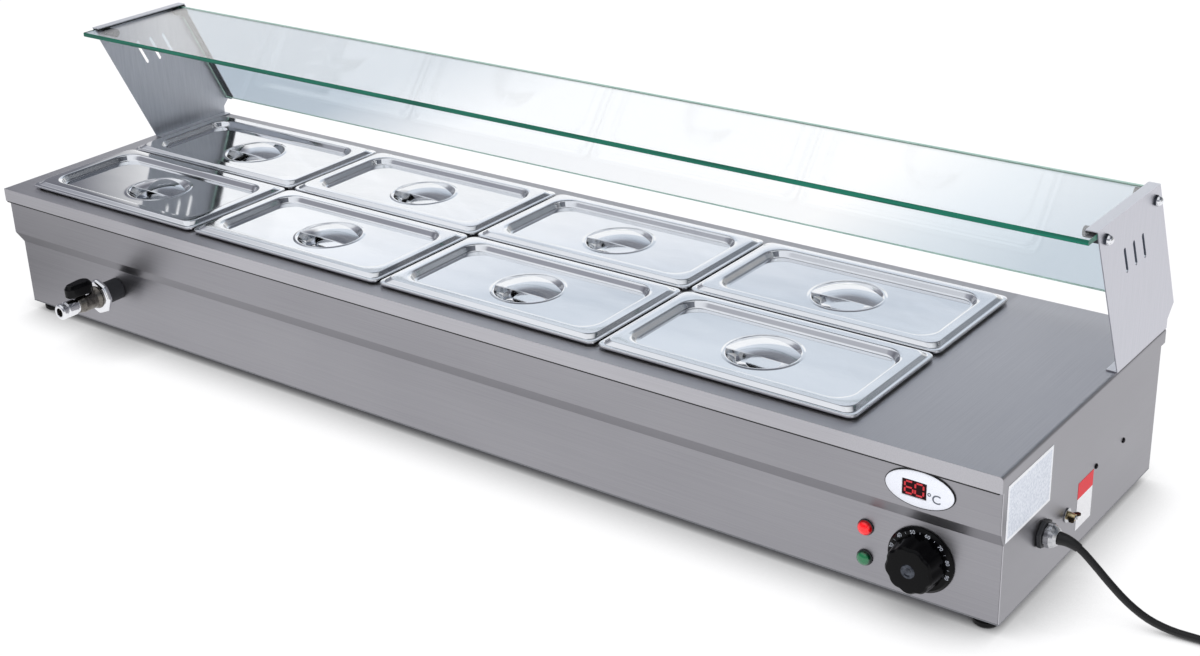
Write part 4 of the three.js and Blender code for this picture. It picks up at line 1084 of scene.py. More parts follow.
@dataclass
class Guard:
    """The glass guard: folded end plates, two panes, their seals and the cap nuts."""

    bolt_head: float = 6.5
    bolt_head_height: float = 9.0
    sleeve_radius: float = 6.0
    sleeve_gap: float = 1.8
    slot_lean: float = 24.85
    first_slot: float = 269.3
    slot_spacing: float = 24.0
    slot_height: float = 131.0
    slot_count: int = 3
    lip_section: tuple[Flat, ...] = ((2, -16.6), (2.42, -16.6), (2.42, 16.6), (2, 16.6))
    lip_depth: float = 4.0

    def build(self, nodes: Nodes) -> None:
        """Dresses the plates and seals and builds the panes and nuts.

        Args:
            nodes: The frame's nodes.
        """
        dress(nodes, (("guard_plate_left", Stock.left_guard_painted_shade, 0.5),
                      ("guard_plate_right", Stock.guard, 0.5),
                      ("seal_left", Stock.seal, 0.2), ("seal_right", Stock.seal, 0.2)))
        self.pane("glass_top", nodes, Stock.pane_edge)
        self.pane("glass_back", nodes, Stock.pane_edge_ground)
        self.slot_lips()
        for end in ("front", "back"):
            self.bolt(f"guard_bolt_{end}_left", -1)
            self.bolt(f"guard_bolt_{end}_right", 1)

    def slot_lips(self) -> None:
        """The lip turned in along the back of each of the right plate's slots: a dark sheet,
        painted shade for the slots' insides.
        """
        outer, deck = Span.of("guard_plate_right").high.x, Span.of("deck")
        lean = math.radians(self.slot_lean)
        form = Form()
        for order in range(self.slot_count):
            y = deck.low.y + self.first_slot + order * self.slot_spacing
            z = deck.high.z + self.slot_height
            outline = [(-z - across * math.sin(lean) - along * math.cos(lean),
                        y + across * math.cos(lean) - along * math.sin(lean))
                       for across, along in self.lip_section]
            form.prism(outline, outer - self.lip_depth, outer - 0.1, Way.X)
        Piece("guard_slot_lips").make(form, Stock.slot_lip_painted_shade)

    def pane(self, name: str, nodes: Nodes, edge: Finish) -> None:
        """A pane with the CAD node's own faces, its edges in the green of the glass's depth.

        Args:
            name: The node's name.
            nodes: The frame's nodes.
            edge: The finish of its edges.
        """
        data = nodes[name].data.copy()
        data.materials.clear()
        for finish in (Stock.pane, edge):
            data.materials.append(finish.material())
        largest = max(polygon.area for polygon in data.polygons)
        broad = next(p.normal.copy() for p in data.polygons if p.area > largest * 0.9)
        for polygon in data.polygons:
            polygon.use_smooth = False
            polygon.material_index = 0 if abs(polygon.normal.dot(broad)) > 0.9 else 1
        Piece(f"{name}_pane", replaces=(name,)).make(data, Stock.pane)

    def bolt(self, node: str, side: int) -> None:
        """A cap nut outside the plate, its hexagon and its dome, and the sleeve inside.

        Args:
            node: The node that it stands for.
            side: 1 at the right end and -1 at the left.
        """
        span = Span.of(node)
        outer, inner = (span.high.x, span.low.x)[::side]
        base = outer - side * self.bolt_head_height
        hexagon_top = base + side * self.bolt_head_height / 3
        sleeve_end = base - side * self.sleeve_gap
        at = (0, span.middle.y, span.middle.z)
        head, sleeve = self.bolt_head, self.sleeve_radius
        form = Form().prism(circle(head, 6), *sorted((base, hexagon_top)), Way.X, at, 1)
        dome = arc((0, 0), head * 5 / 6, 0, 90, 8)
        form.turned([(head * 0.88, hexagon_top)] + [(r, hexagon_top + side * z) for r, z in dome],
                    32, Way.X, at)
        form.turned([(0, inner), (sleeve, inner), (sleeve, sleeve_end), (4, sleeve_end), (4, base),
                     (0, base)], 32, Way.X, at, 2)
        StandIn(node, bevel=0.3).make(form, Stock.chrome, Stock.smoked, Stock.dark)


@dataclass
class Controls:
    """Dial, pilot lamps and temperature display at the right of the front."""

    skirt_radius: float = 37.0
    skirt_thickness: float = 4.0
    grip_radius: float = 30.0
    grip_taper: float = 3.0
    grip_round: float = 2.2
    lobes: int = 9
    lobe_depth: float = 1.6
    cap_radius: float = 8.0
    shaft_radius: float = 3.3
    numeral_height: float = 4.32
    numeral_inset: float = 4.6
    numerals: tuple[str, ...] = ("30", "40", "50", "60", "70", "80", "90")
    numeral_start: float = 165.0
    numeral_step: float = -30.0
    tick_height: float = 2.2
    lamp_radius: float = 9.0
    lamp_height: float = 8.0
    bezel_length: float = 76.0
    bezel_height: float = 40.0
    bezel_crown: float = 4.0
    bezel_edge: float = 1.6
    # the margin of the black ring round the bezel, a painted shadow
    shadow_ring: float = 1.0
    window_size: Flat = (27.0, 18.0)
    window_gap: float = 0.3
    reading: str = "60"
    digit_place: Flat = (-10.6, -6.6)  # of the first one's corner, from the window's middle
    digit_pitch: float = 11.6
    digit_size: Point = (9.0, 13.2, 1.9)  # wide, high, and the width of a bar
    unit_place: Flat = (22.0, -5.0)  # from the window's middle
    unit_height: float = 10.0
    ink: float = 0.06  # how far print stands out

    def build(self) -> None:
        """Builds the dial, the lamps and the display."""
        self.dial()
        self.lamp("red_lamp", Stock.red)
        self.lamp("green_lamp", Stock.green)
        self.display()

    def dial(self) -> None:
        """The numbered skirt with its lobed grip, its cap and its numerals."""
        span = Span.of("thermostat_knob")
        centre = (span.middle.x, 0, span.middle.z)
        back, front, face = -span.high.y, -span.low.y, self.skirt_thickness - span.high.y
        r, grip, taper = self.skirt_radius, self.grip_radius, self.grip_taper
        skirt = filleted([(self.shaft_radius, back), (r, back), (r, back + 1.2), (r - 3.2, face),
                          (grip - 3, face)], 0.8)
        skirt.append((self.shaft_radius, face))
        form = Form().turned(skirt, 120, Way.MINUS_Y, centre, loop=True)
        path = filleted([(0.5, back + 0.6), (0, face), (taper, front - self.grip_round),
                         (taper + self.grip_round, front), (grip - self.cap_radius - 6, front),
                         (grip - self.cap_radius - 0.4, front)], 1.2)
        sides = self.lobes * 20
        rings = []
        for inset, depth in path:
            fade = min(1.0, max(0.0, (grip - inset - 12) / 10))
            ring = []
            for angle in (2 * math.pi * side / sides for side in range(sides)):
                dent = self.lobe_depth * fade * ((1 + math.cos(angle * self.lobes)) / 2) ** 1.5
                radius = grip - inset - dent
                ring.append((centre[0] + radius * math.sin(angle), -depth,
                             centre[2] + radius * math.cos(angle)))
            rings.append(ring)
        StandIn("thermostat_knob", "dial").make(form.skin(rings), Stock.knob)

        c, proud = self.cap_radius, -Span.of("knob_cap").low.y
        crown = filleted([(0, proud - 0.7), (c * 0.45, proud - 0.7), (c * 0.6, proud),
                          (c - 0.8, proud), (c, proud - 1), (c, proud - 1.6),
                          (0, proud - 1.6)], 0.4)
        cap = Form().turned(crown, 48, Way.MINUS_Y, centre)
        StandIn("knob_cap", "dial").make(cap, Stock.smoked)
        self.numbers(centre, face)

    def numbers(self, centre: Point, face: float) -> None:
        """The pale numerals printed round the skirt, with a tick between each two.

        Args:
            centre: The dial's centre.
            face: How far in front of the middle the skirt's face lies.
        """
        form = Form()
        radius = self.skirt_radius - self.numeral_inset
        for order in range(len(self.numerals) * 2 - 1):
            turn = math.radians(self.numeral_start + self.numeral_step * order / 2)
            right, up = math.cos(turn), math.sin(turn)
            mark, height = self.numerals[order // 2], self.numeral_height
            if order % 2:
                mark, height = "I", self.tick_height
            lay_text(form, mark, height, lambda x, y, c=right, s=up: (
                centre[0] + c * (radius + y) + s * x, -face - self.ink,
                centre[2] + s * (radius + y) - c * x))
        Piece("dial_numerals", "dial").make(form, Stock.numeral)

    def lamp(self, node: str, lens: Finish) -> None:
        """A domed pilot lamp with a thin dark collar.

        Args:
            node: The node that it stands for.
            lens: The finish of its dome.
        """
        span = Span.of(node)
        centre = (span.middle.x, 0, span.middle.z)
        tip, r = -span.low.y, self.lamp_radius
        base = tip - self.lamp_height
        dome, spring = r * 0.93, base + 1.6
        profile = [(0, base), (dome, base)]
        for a in map(math.radians, range(0, 91, 9)):
            profile.append((dome * math.cos(a), spring + (tip - spring) * math.sin(a)))
        StandIn(node).make(Form().turned(profile, 48, Way.MINUS_Y, centre), lens)
        collar = filleted([(r * 0.9, base), (r, base), (r, base + 1.4), (dome + 0.1, base + 2.0),
                           (dome + 0.1, base)], 0.4)
        Piece(f"{node}_collar").make(Form().turned(collar, 48, Way.MINUS_Y, centre), Stock.dark)

    def display(self) -> None:
        """The oval bezel, its window with lit digits, and the degree sign and letter beside it."""
        bezel, window = Span.of("display_bezel"), Span.of("display_window")
        centre, middle = bezel.middle, window.middle
        base = bezel.low.y + self.bezel_crown
        half_w, half_h = (size / 2 + self.window_gap for size in self.window_size)
        corner = math.atan2(half_h, half_w)
        shares = [step / 12 for step in range(12)]
        quarter = [corner * share for share in shares]
        quarter += [corner + (math.pi / 2 - corner) * share for share in shares]
        angles = quarter + [math.pi - a for a in [math.pi / 2, *quarter[:0:-1]]]
        angles += [a + math.pi for a in angles]
        opening = []
        for x, z in ((math.cos(a), math.sin(a)) for a in angles):
            stretch = min(half_w / max(abs(x), 1e-6), half_h / max(abs(z), 1e-6))
            opening.append((middle.x + stretch * x, middle.z + stretch * z))

        def oval(share: float, more: float = 0.0) -> list[Flat]:
            """The bezel's outline, at a share of its size and so much more."""
            across = share * self.bezel_length / 2 + more
            up = share * self.bezel_height / 2 + more
            return [(centre.x + across * math.cos(a), centre.z + up * math.sin(a))
                    for a in angles]

        def crowned(x: float, z: float) -> float:
            """Where the bezel's domed face lies along Y."""
            away = math.hypot((x - centre.x) / self.bezel_length,
                              (z - centre.z) / self.bezel_height)
            return base - self.bezel_edge - (self.bezel_crown - self.bezel_edge) * math.sqrt(
                max(0.0, 1 - 4 * away * away))

        rings = [[(x, y, z) for x, z in oval(1.0)] for y in (base, base - self.bezel_edge)]
        inmost = oval(0.85)
        inward = [[(x + (u - x) * (1 - share), z + (w - z) * (1 - share))
                   for (x, z), (u, w) in zip(inmost, opening)] for share in (0.75, 0.5, 0.25, 0.06)]
        for outline in [*map(oval, (0.985, 0.95, 0.9)), inmost, *inward]:
            rings.append([(x, crowned(x, z), z) for x, z in outline])
        rings.append([(x, crowned(x, z) + 0.5, z) for x, z in opening])
        rings.append([(x, window.high.y, z) for x, z in opening])
        StandIn("display_bezel").make(Form().skin(rings), Stock.bezel)
        # painted shadow: a black ring just outside the bezel stands for the shade round its raised
        # edge
        shadow_ring = [[(x, y, z) for x, z in oval(1.0, self.shadow_ring)] for y in (base, base - 1.2)]
        Piece("display_painted_shadow_ring").make(Form().skin(shadow_ring), Stock.seal)
        StandIn("display_window", bevel=0.4).make(
            Form().box(tuple(window.low), tuple(window.high)), Stock.window)
        digits = Form()
        left, low = middle.x + self.digit_place[0], middle.z + self.digit_place[1]
        for order, digit in enumerate(self.reading):
            corner = (left + order * self.digit_pitch, window.low.y - 0.05, low)
            seven_segments(digits, digit, corner, *self.digit_size)
        Piece("display_digits").make(digits, Stock.segment)
        letters = Form()
        left, low = middle.x + self.unit_place[0], middle.z + self.unit_place[1]
        lay_text(letters, "°C", self.unit_height,
                 lambda x, z: (left + x, crowned(left + x, low + z) - 0.1, low + z))
        Piece("display_unit_letters").make(letters, Stock.grey_ink)


@dataclass
class Tap:
    """The drain tap at the left: sleeve, ring nut, body with its nozzle, and lever."""

    pipe: float = 8.3
    sleeve: float = 15.0
    ring: float = 25.0
    body: float = 13.0
    body_length: float = 34.0
    nozzle: float = 11.0
    bore: float = 6.0
    post: float = 6.0
    lever_crown: float = 5.0

    def build(self) -> None:
        """Builds the tap's pieces."""
        sleeve, ring = Span.of("tap_sleeve"), Span.of("tap_ring")
        centre = (sleeve.middle.x, 0, sleeve.middle.z)
        r, back, front = self.sleeve, -sleeve.high.y, -sleeve.low.y
        tube = filleted([(self.pipe, back), (r, back), (r, front), (self.pipe, front)], 0.6)
        # the sleeve is dark nylon, and its dark also stands for the tap's soft shadow on the panel
        # beside it: partly painted shadow
        StandIn("tap_sleeve").make(
            Form().turned(tube, 40, Way.MINUS_Y, centre, loop=True), Stock.dark)
        r, back, front = self.ring, -ring.high.y, -ring.low.y
        nut = [(self.pipe, back), (r - 2.2, back), (r, back + 2.2), (r, front - 2.6),
               (r - 2.6, front), (self.pipe, front)]
        StandIn("tap_ring", bevel=1.6).make(
            Form().turned(nut, 8, Way.MINUS_Y, centre, loop=True), Stock.chrome)
        self.body_piece(centre, Span.of("tap_body"))
        self.lever_piece(Span.of("tap_lever"))

    def body_piece(self, centre: Point, span: Span) -> None:
        """The valve body, its post and its nozzle, with a dark tube in the bore as painted shade.

        Args:
            centre: The middle of the tap's axis.
            span: The box of the body's node.
        """
        back, tip = -span.high.y, -span.low.y
        b, n, bore = self.body, self.nozzle, self.bore
        joint = back + self.body_length
        valve = [(0, back), (b * 1.25, back), (b, back + 6), (b, joint - 9), (b - 2, joint - 2)]
        spout = [(n - 1.6, joint), (n - 1.6, joint + 3), (n, joint + 4), (n, joint + 17),
                 (n - 1.4, joint + 18), (n - 1.4, joint + 20), (n, joint + 21), (n, tip - 2),
                 (n - 2, tip), (bore, tip), (bore, joint + 6), (0, joint + 6)]
        profile = filleted(valve + spout, 0.9)
        split = next(i for i, (_, y) in enumerate(profile) if y > joint - 1)
        form = Form().turned(profile[:split + 1], 56, Way.MINUS_Y, centre, 1)
        form.turned(profile[split:], 56, Way.MINUS_Y, centre)
        post = [(0, b / 2), (self.post, b / 2), (self.post, b + 1.2), (0, b + 1.2)]
        form.turned(filleted(post, 0.3), 32, at=(centre[0], -(back + joint) / 2, centre[2]))
        StandIn("tap_body").make(form, Stock.chrome, Stock.satin_nickel)
        # painted shade: a dark tube inside the nozzle's bore stands for the shade in it
        bore_shade_path = filleted([(bore - 0.05, tip - 1.5), (bore - 0.05, joint + 6.5), (0, joint + 6.5)],
                          0.2)
        tube = bore_shade_path[:-1] + [(bore - 0.4, joint + 7), (bore - 0.4, tip - 1.5)]
        Piece("tap_bore_painted_shade").make(
            Form().turned(tube, 40, Way.MINUS_Y, centre, loop=True), Stock.bore)

    def lever_piece(self, span: Span) -> None:
        """The lever: a domed boss over the post and a grip that thins towards its end.

        Args:
            span: The box of the lever's node.
        """
        x, low, high = span.middle.x, span.low.z, span.high.z + self.lever_crown
        half = (span.high.x - span.low.x) / 2
        pivot, end = span.high.y - half, span.low.y + half * 0.75
        plan = arc((x, pivot), half, 0, 180, 16) + arc((x, end), half * 0.75, 180, 360, 14)
        section = filleted([(1.2, low), (0, low + 1.2), (0, high - 5), (3.4, high), (6, high)], 2.2)
        rings = [[(x + (px - x) * (1 - inset / half),
                   py + (pivot + end - 2 * py) / (pivot - end) * inset * 0.6, z) for px, py in plan]
                 for inset, z in section]
        StandIn("tap_lever", "tap_lever").make(Form().skin(rings), Stock.lever)


@dataclass
class Services:
    """On the right end: the cable gland and the earth stud."""

    flange_radius: float = 16.5
    flange_turn: float = 12.0
    gland_radius: float = 12.5
    mouth: float = 8.0
    ribs: int = 10
    stud_radius: float = 2.5
    thread_pitch: float = 0.45
    thread_depth: float = 0.35
    washer_radius: float = 8.0
    wing: tuple[Flat, ...] = (  # along the stud from the nut's outer end, and away from it
        (-7.5, 2.6), (-7.5, 4.8), (-2.4, 11), (1.2, 10.6), (2.3, 8.6), (0, 4.4), (0, 2.6))

    def build(self) -> None:
        """Builds the gland and the earth stud."""
        wall = Span.of("deck").high.x
        self.gland(wall)
        self.earth(wall)

    def gland(self, wall: float) -> None:
        """The gland's hexagonal flange and its ribbed cap.

        Args:
            wall: Where the end wall's face lies.
        """
        flange, body = Span.of("gland_flange"), Span.of("gland_body")
        at = (0, body.middle.y, body.middle.z)
        form = Form().prism(circle(self.flange_radius, 6, self.flange_turn), wall + SEAT,
                            flange.high.x, Way.X, at)
        for r, low, high in ((14, flange.low.x, wall - 1.5), (9, wall - 2.2, wall + 1)):
            form.turned([(0, low), (r, low), (r, high), (0, high)], 32, Way.X, at)
        StandIn("gland_flange", bevel=0.6).make(form, Stock.dark)
        r, low, high = self.gland_radius, body.low.x, body.high.x
        profile = filleted([(0, low), (r, low), (r, low + 6.5), (r * 7 / 8, low + 9.8),
                            (self.mouth, high), (0, high)], 1.0)
        cap = Form().turned(profile, 48, Way.X, at)
        for y, z in circle(r - 0.6, self.ribs):
            cap.prism(circle(1.5, 10), low + 1.0, low + 6.2, Way.X, (0, at[1] + z, at[2] + y))
        StandIn("gland_body").make(cap, Stock.nickel)

    def earth(self, wall: float) -> None:
        """The earth stud with its washer, and the brass wing nut.

        Args:
            wall: Where the end wall's face lies.
        """
        bolt, nut = Span.of("earth_bolt"), Span.of("earth_nut")
        at = (0, bolt.middle.y, bolt.middle.z)
        s, w, tip, pitch = self.stud_radius, self.washer_radius, bolt.high.x, self.thread_pitch
        thread = [(s - self.thread_depth * (k % 2), wall + 2 + pitch * k)
                  for k in range(int((tip - wall - 3) / pitch))]
        profile = [(0, wall - 4), (6, wall - 4), (6, wall - 1.5), (s, wall - 1.5), (s, wall + SEAT),
                   (w, wall + SEAT), (w, wall + 1.5), (s, wall + 1.5), *thread, (s - 0.6, tip),
                   (0, tip)]
        StandIn("earth_bolt").make(Form().turned(profile, 28, Way.X, at), Stock.nickel)
        low, high = nut.low.x, nut.low.x + 8
        hub = Form().turned(filleted([(2.8, low), (4.8, low), (3.6, high), (2.8, high)], 0.5), 28,
                            Way.X, at, loop=True)
        wing = filleted(self.wing, 1.6)
        for side in (-1, 1):
            hub.skin([[(high + x, at[1] + side * y, at[2] + z) for x, y in wing]
                      for z in (-1.2, -0.6, 0.6, 1.2)], 1)
        StandIn("earth_nut", bevel=0.4).make(hub, Stock.brass, Stock.dark_brass)


@dataclass
class MainsLead:
    """The mains lead: out of the gland, down to the surface, and coiled out of the view."""

    diameter: float = 8.0
    length: float = 1771.0
    route: tuple[Point, ...] = (
        (0, 0, 0), (9, 0, -0.4), (22, 0, -5), (38, 0, -17.5), (56, 0.5, -34), (76, 2, -51),
        (97, 4, -63.5), (120, 6.5, -70), (145, 9, -71.5), (175, 11, -71.5), (200, 11.9, -71.5),
        (217, 12, -71.5))
    turns: int = 5
    middle_radius: float = 48.0
    pitch: float = 8.8
    tie_width: float = 8.0
    tie_sheet: float = 0.8
    plug_width: float = 30.0
    plug_sections: tuple[Flat, ...] = (  # along the plug, and the share of its full size
        (0, 0.4), (4, 0.42), (13, 0.5), (16, 0.72), (20, 0.92), (26, 1.0), (36, 1.0), (37.4, 0.97),
        (38, 0.9))
    rib_places: tuple[float, ...] = (3, 5.6, 8.2, 10.8)
    blade_spread: float = 6.35
    relief_length: float = 26.0
    relief_wall: Flat = (3.1, 0.5)  # at its start and its end

    @property
    def radii(self) -> Flat:
        """The radii of the coil's inmost and outmost turns."""
        spread = self.pitch * self.turns / 4
        return self.middle_radius - spread, self.middle_radius + spread

    def build(self) -> None:
        """Builds the lead, its plug, its tie and its strain relief."""
        body = Span.of("gland_body")
        exit_point = Vector((body.high.x + 0.1, body.middle.y, body.middle.z))
        floor = self.diameter / 2 + SEAT
        stretch = self.stretch(exit_point, floor)
        start = stretch[-1]
        centre = Vector((start.x + SEAT + self.diameter, start.y + self.radii[1], floor))
        line = stretch + self.coil(centre)
        data = bpy.data.curves.new("mains_lead", "CURVE")
        data.dimensions = "3D"
        data.bevel_depth = self.diameter / 2 * MM
        data.bevel_resolution = 5
        data.use_fill_caps = True
        spline = data.splines.new("POLY")
        spline.points.add(len(line) - 1)
        for point, place in zip(spline.points, line):
            point.co = (*(place * MM), 1.0)
        spline.use_smooth = True
        data.materials.append(Stock.lead.material())
        lead = add_object("mains_lead", data)
        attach(lead, "root")
        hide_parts("power_cord", "cord_coil")
        self.plug()
        self.tie(centre)
        self.relief(stretch)
        log.info("piece mains_lead rides on root, %d points", len(line))

    def stretch(self, exit_point: Vector, floor: float) -> list[Vector]:
        """The stretch that isn't coiled.

        Args:
            exit_point: Where the lead leaves the gland.
            floor: The height of its middle where it lies.

        Returns:
            Close points on one smooth curve.
        """
        drop = (floor - exit_point.z) / self.route[-1][2]
        knots = [exit_point + Vector((x, y, z * drop)) for x, y, z in self.route]
        padded = [knots[0] * 2 - knots[1], *knots, knots[-1] * 2 - knots[-2]]
        line = [centripetal(four, share) for four in zip(padded, padded[1:], padded[2:], padded[3:])
                for share in (0, 1 / 3, 2 / 3)]
        return [*line, knots[-1]]

    def coil(self, centre: Vector) -> list[Vector]:
        """The coil: in, up one layer and out again, and straight on to the plug.

        Args:
            centre: The coil's middle, at the height of its lower turns.

        Returns:
            Close points along it.
        """
        inner, outer = self.radii
        per_turn, soft = 24, 1 / 8
        line = []
        for turn in (step / per_turn for step in range(self.turns * per_turn + 1)):
            away = turn - self.turns / 2
            radius = inner + self.pitch * (math.hypot(away, soft) - soft)
            share = min(1.0, max(0.0, away * 2 + 0.5))
            angle = math.radians(360 * turn - 90)
            line.append(centre + Vector((radius * math.cos(angle), radius * math.sin(angle),
                                         self.pitch * share * share * (3 - 2 * share))))
        clear = outer + self.diameter / 2 + SEAT
        tail = math.sqrt(clear**2 - (outer - self.plug_width / 2) ** 2)
        return [*line, line[-1] + Vector((tail, 0, 0))]

    def tie(self, centre: Vector) -> bpy.types.Object:
        """The band that holds the coil: a flat loop round its turns, away from the plug.

        Args:
            centre: The coil's middle, at the height of its lower turns.

        Returns:
            The band.
        """
        inner, outer = self.radii
        reach = self.diameter / 2 + 0.2
        low, high = centre.z - self.diameter / 2 + 0.05, centre.z + self.pitch + reach
        loops = []
        for thick in (0.0, self.tie_sheet):
            left, right = centre.x + inner - reach - thick, centre.x + outer + reach + thick
            corners = [(left, low), (right, low), (right, high + thick), (left, high + thick)]
            loop = filleted([*corners, corners[0]], 4.0, 5)[:-1]
            loops += [[(x, centre.y + y, z) for x, z in loop]
                      for y in (-self.tie_width / 2, self.tie_width / 2)]
        inside, inside_back, outside, outside_back = loops
        return Piece("coil_tie").make(
            Form().skin([inside, outside, outside_back, inside_back], loop=True), Stock.lead)

    def plug(self) -> bpy.types.Object:
        """A moulded plug with two flat blades and a round earth pin."""
        span = Span.of("plug")
        x, y, z = at = (span.low.x, span.middle.y, span.middle.z)
        height = self.diameter + 2 * self.pitch
        form = Form().skin([
            [(x + along, y + u, z + v) for u, v, _ in tray_ring(
                self.plug_width * share, height * share, 0, 0, height * share / 3, 8)]
            for along, share in self.plug_sections])
        for rib in self.rib_places:
            form.turned([(6.6, rib), (6.9, rib + 0.4), (6.9, rib + 1.0), (6.6, rib + 1.4)], 32,
                        Way.X, at)
        face = x + self.plug_sections[-1][0]
        for blade in (y - self.blade_spread, y + self.blade_spread):
            form.box((face - 1, blade - 0.75, z - 0.85), (face + 17, blade + 0.75, z + 5.65), 1)
        form.turned([(0, 37), (2.4, 37), (2.4, 56), (1.6, 58), (0, 58)], 24, Way.X,
                    (x, y, z - height / 4), 1)
        return StandIn("plug", bevel=0.25).make(form, Stock.lead, Stock.nickel)

    def relief(self, stretch: list[Vector]) -> None:
        """The tapered strain relief: it follows the lead and thins towards its end.

        Args:
            stretch: The points that the lead passes through from the gland.
        """
        rings, gone, across = [], 0.0, Vector((0, 1, 0))
        for i, (place, after) in enumerate(zip(stretch, stretch[1:])):
            gone += (place - stretch[i - 1]).length if i else 0.0
            if gone > self.relief_length:
                break
            thick, thin = self.relief_wall
            radius = self.diameter / 2 + thick + (thin - thick) * gone / self.relief_length
            up = (after - place).normalized().cross(across).normalized()
            start = place if i else place + Vector((0.2, 0, 0))
            rings.append([tuple(start + across * u + up * v) for u, v in circle(radius, 32)])
        Piece("strain_relief", bevel=0.3).make(Form().skin(rings), Stock.lead)


def centripetal(knots: Sequence[Vector], share: float) -> Vector:
    """A point on the centripetal curve through four knots.

    Args:
        knots: The four knots.
        share: The share of the way from the second knot to the third.

    Returns:
        The point.
    """
    a, b, c, d = knots
    times = [0.0]
    for before, after in ((a, b), (b, c), (c, d)):
        times.append(times[-1] + max((after - before).length ** 0.5, 1e-6))
    t = times[1] + (times[2] - times[1]) * share

    def blend(p: Vector, q: Vector, start: int, end: int) -> Vector:
        """The point between two that the time t reaches on its way from one knot's to another's."""
        low, high = times[start], times[end]
        return p * ((high - t) / (high - low)) + q * ((t - low) / (high - low))

    ab, bc, cd = blend(a, b, 0, 1), blend(b, c, 1, 2), blend(c, d, 2, 3)
    return blend(blend(ab, bc, 0, 2), blend(bc, cd, 1, 3), 1, 2)


# Lettering


def lay_text(form: Form, text: str, height: float, place: Callable[[float, float], Point]) -> None:
    """Adds thin flat lettering to a form.

    Args:
        form: The form that takes the letters.
        text: The numerals or letters.
        height: Their height in millimetres.
        place: Gives the place of a point that lies so far right of and above the text's middle.
    """
    curve = bpy.data.curves.new("lettering", "FONT")
    curve.body = text
    curve.size = height * 1.4
    curve.offset = height * 0.02  # bolder than the plain face
    curve.align_x = "CENTER"
    curve.align_y = "CENTER"
    curve.resolution_u = 4
    holder = add_object("lettering", curve)
    bpy.context.view_layer.update()
    graph = bpy.context.evaluated_depsgraph_get()
    flat = bpy.data.meshes.new_from_object(holder.evaluated_get(graph))
    bpy.data.objects.remove(holder)
    first = len(form.points)
    form.points += [place(v.co.x, v.co.y) for v in flat.vertices]
    form.faces += [tuple(first + i for i in polygon.vertices) for polygon in flat.polygons]
    form.finish_of += [0] * len(flat.polygons)
    bpy.data.meshes.remove(flat)
    bpy.data.curves.remove(curve)


SEGMENTS_LIT = {"0": "abcdef", "6": "acdefg"}


def seven_segments(form: Form, digit: str, corner: Point, width: float, height: float,
                   stroke: float) -> None:
    """Adds the lit bars of a digit, standing on a corner and facing the front.

    Args:
        form: The form that takes the bars.
        digit: The digit.
        corner: Its lower left corner.
        width: Its width in millimetres.
        height: Its height in millimetres.
        stroke: The width of a bar.
    """
    x, y, z = corner
    half, s, gap = height / 2, stroke / 2, stroke * 0.6
    upright = {"b": (width, half), "c": (width, 0), "e": (0, 0), "f": (0, half)}
    level = {"a": height, "d": 0, "g": half}
    for bar in SEGMENTS_LIT[digit]:
        if bar in upright:
            cx, cz = upright[bar]
            low, high = (x + cx - s, z + cz + gap), (x + cx + s, z + cz + half - gap)
        else:
            low, high = (x + gap, z + level[bar] - s), (x + width - gap, z + level[bar] + s)
        form.box((low[0], y - 0.1, low[1]), (high[0], y, high[1]))


# Studio


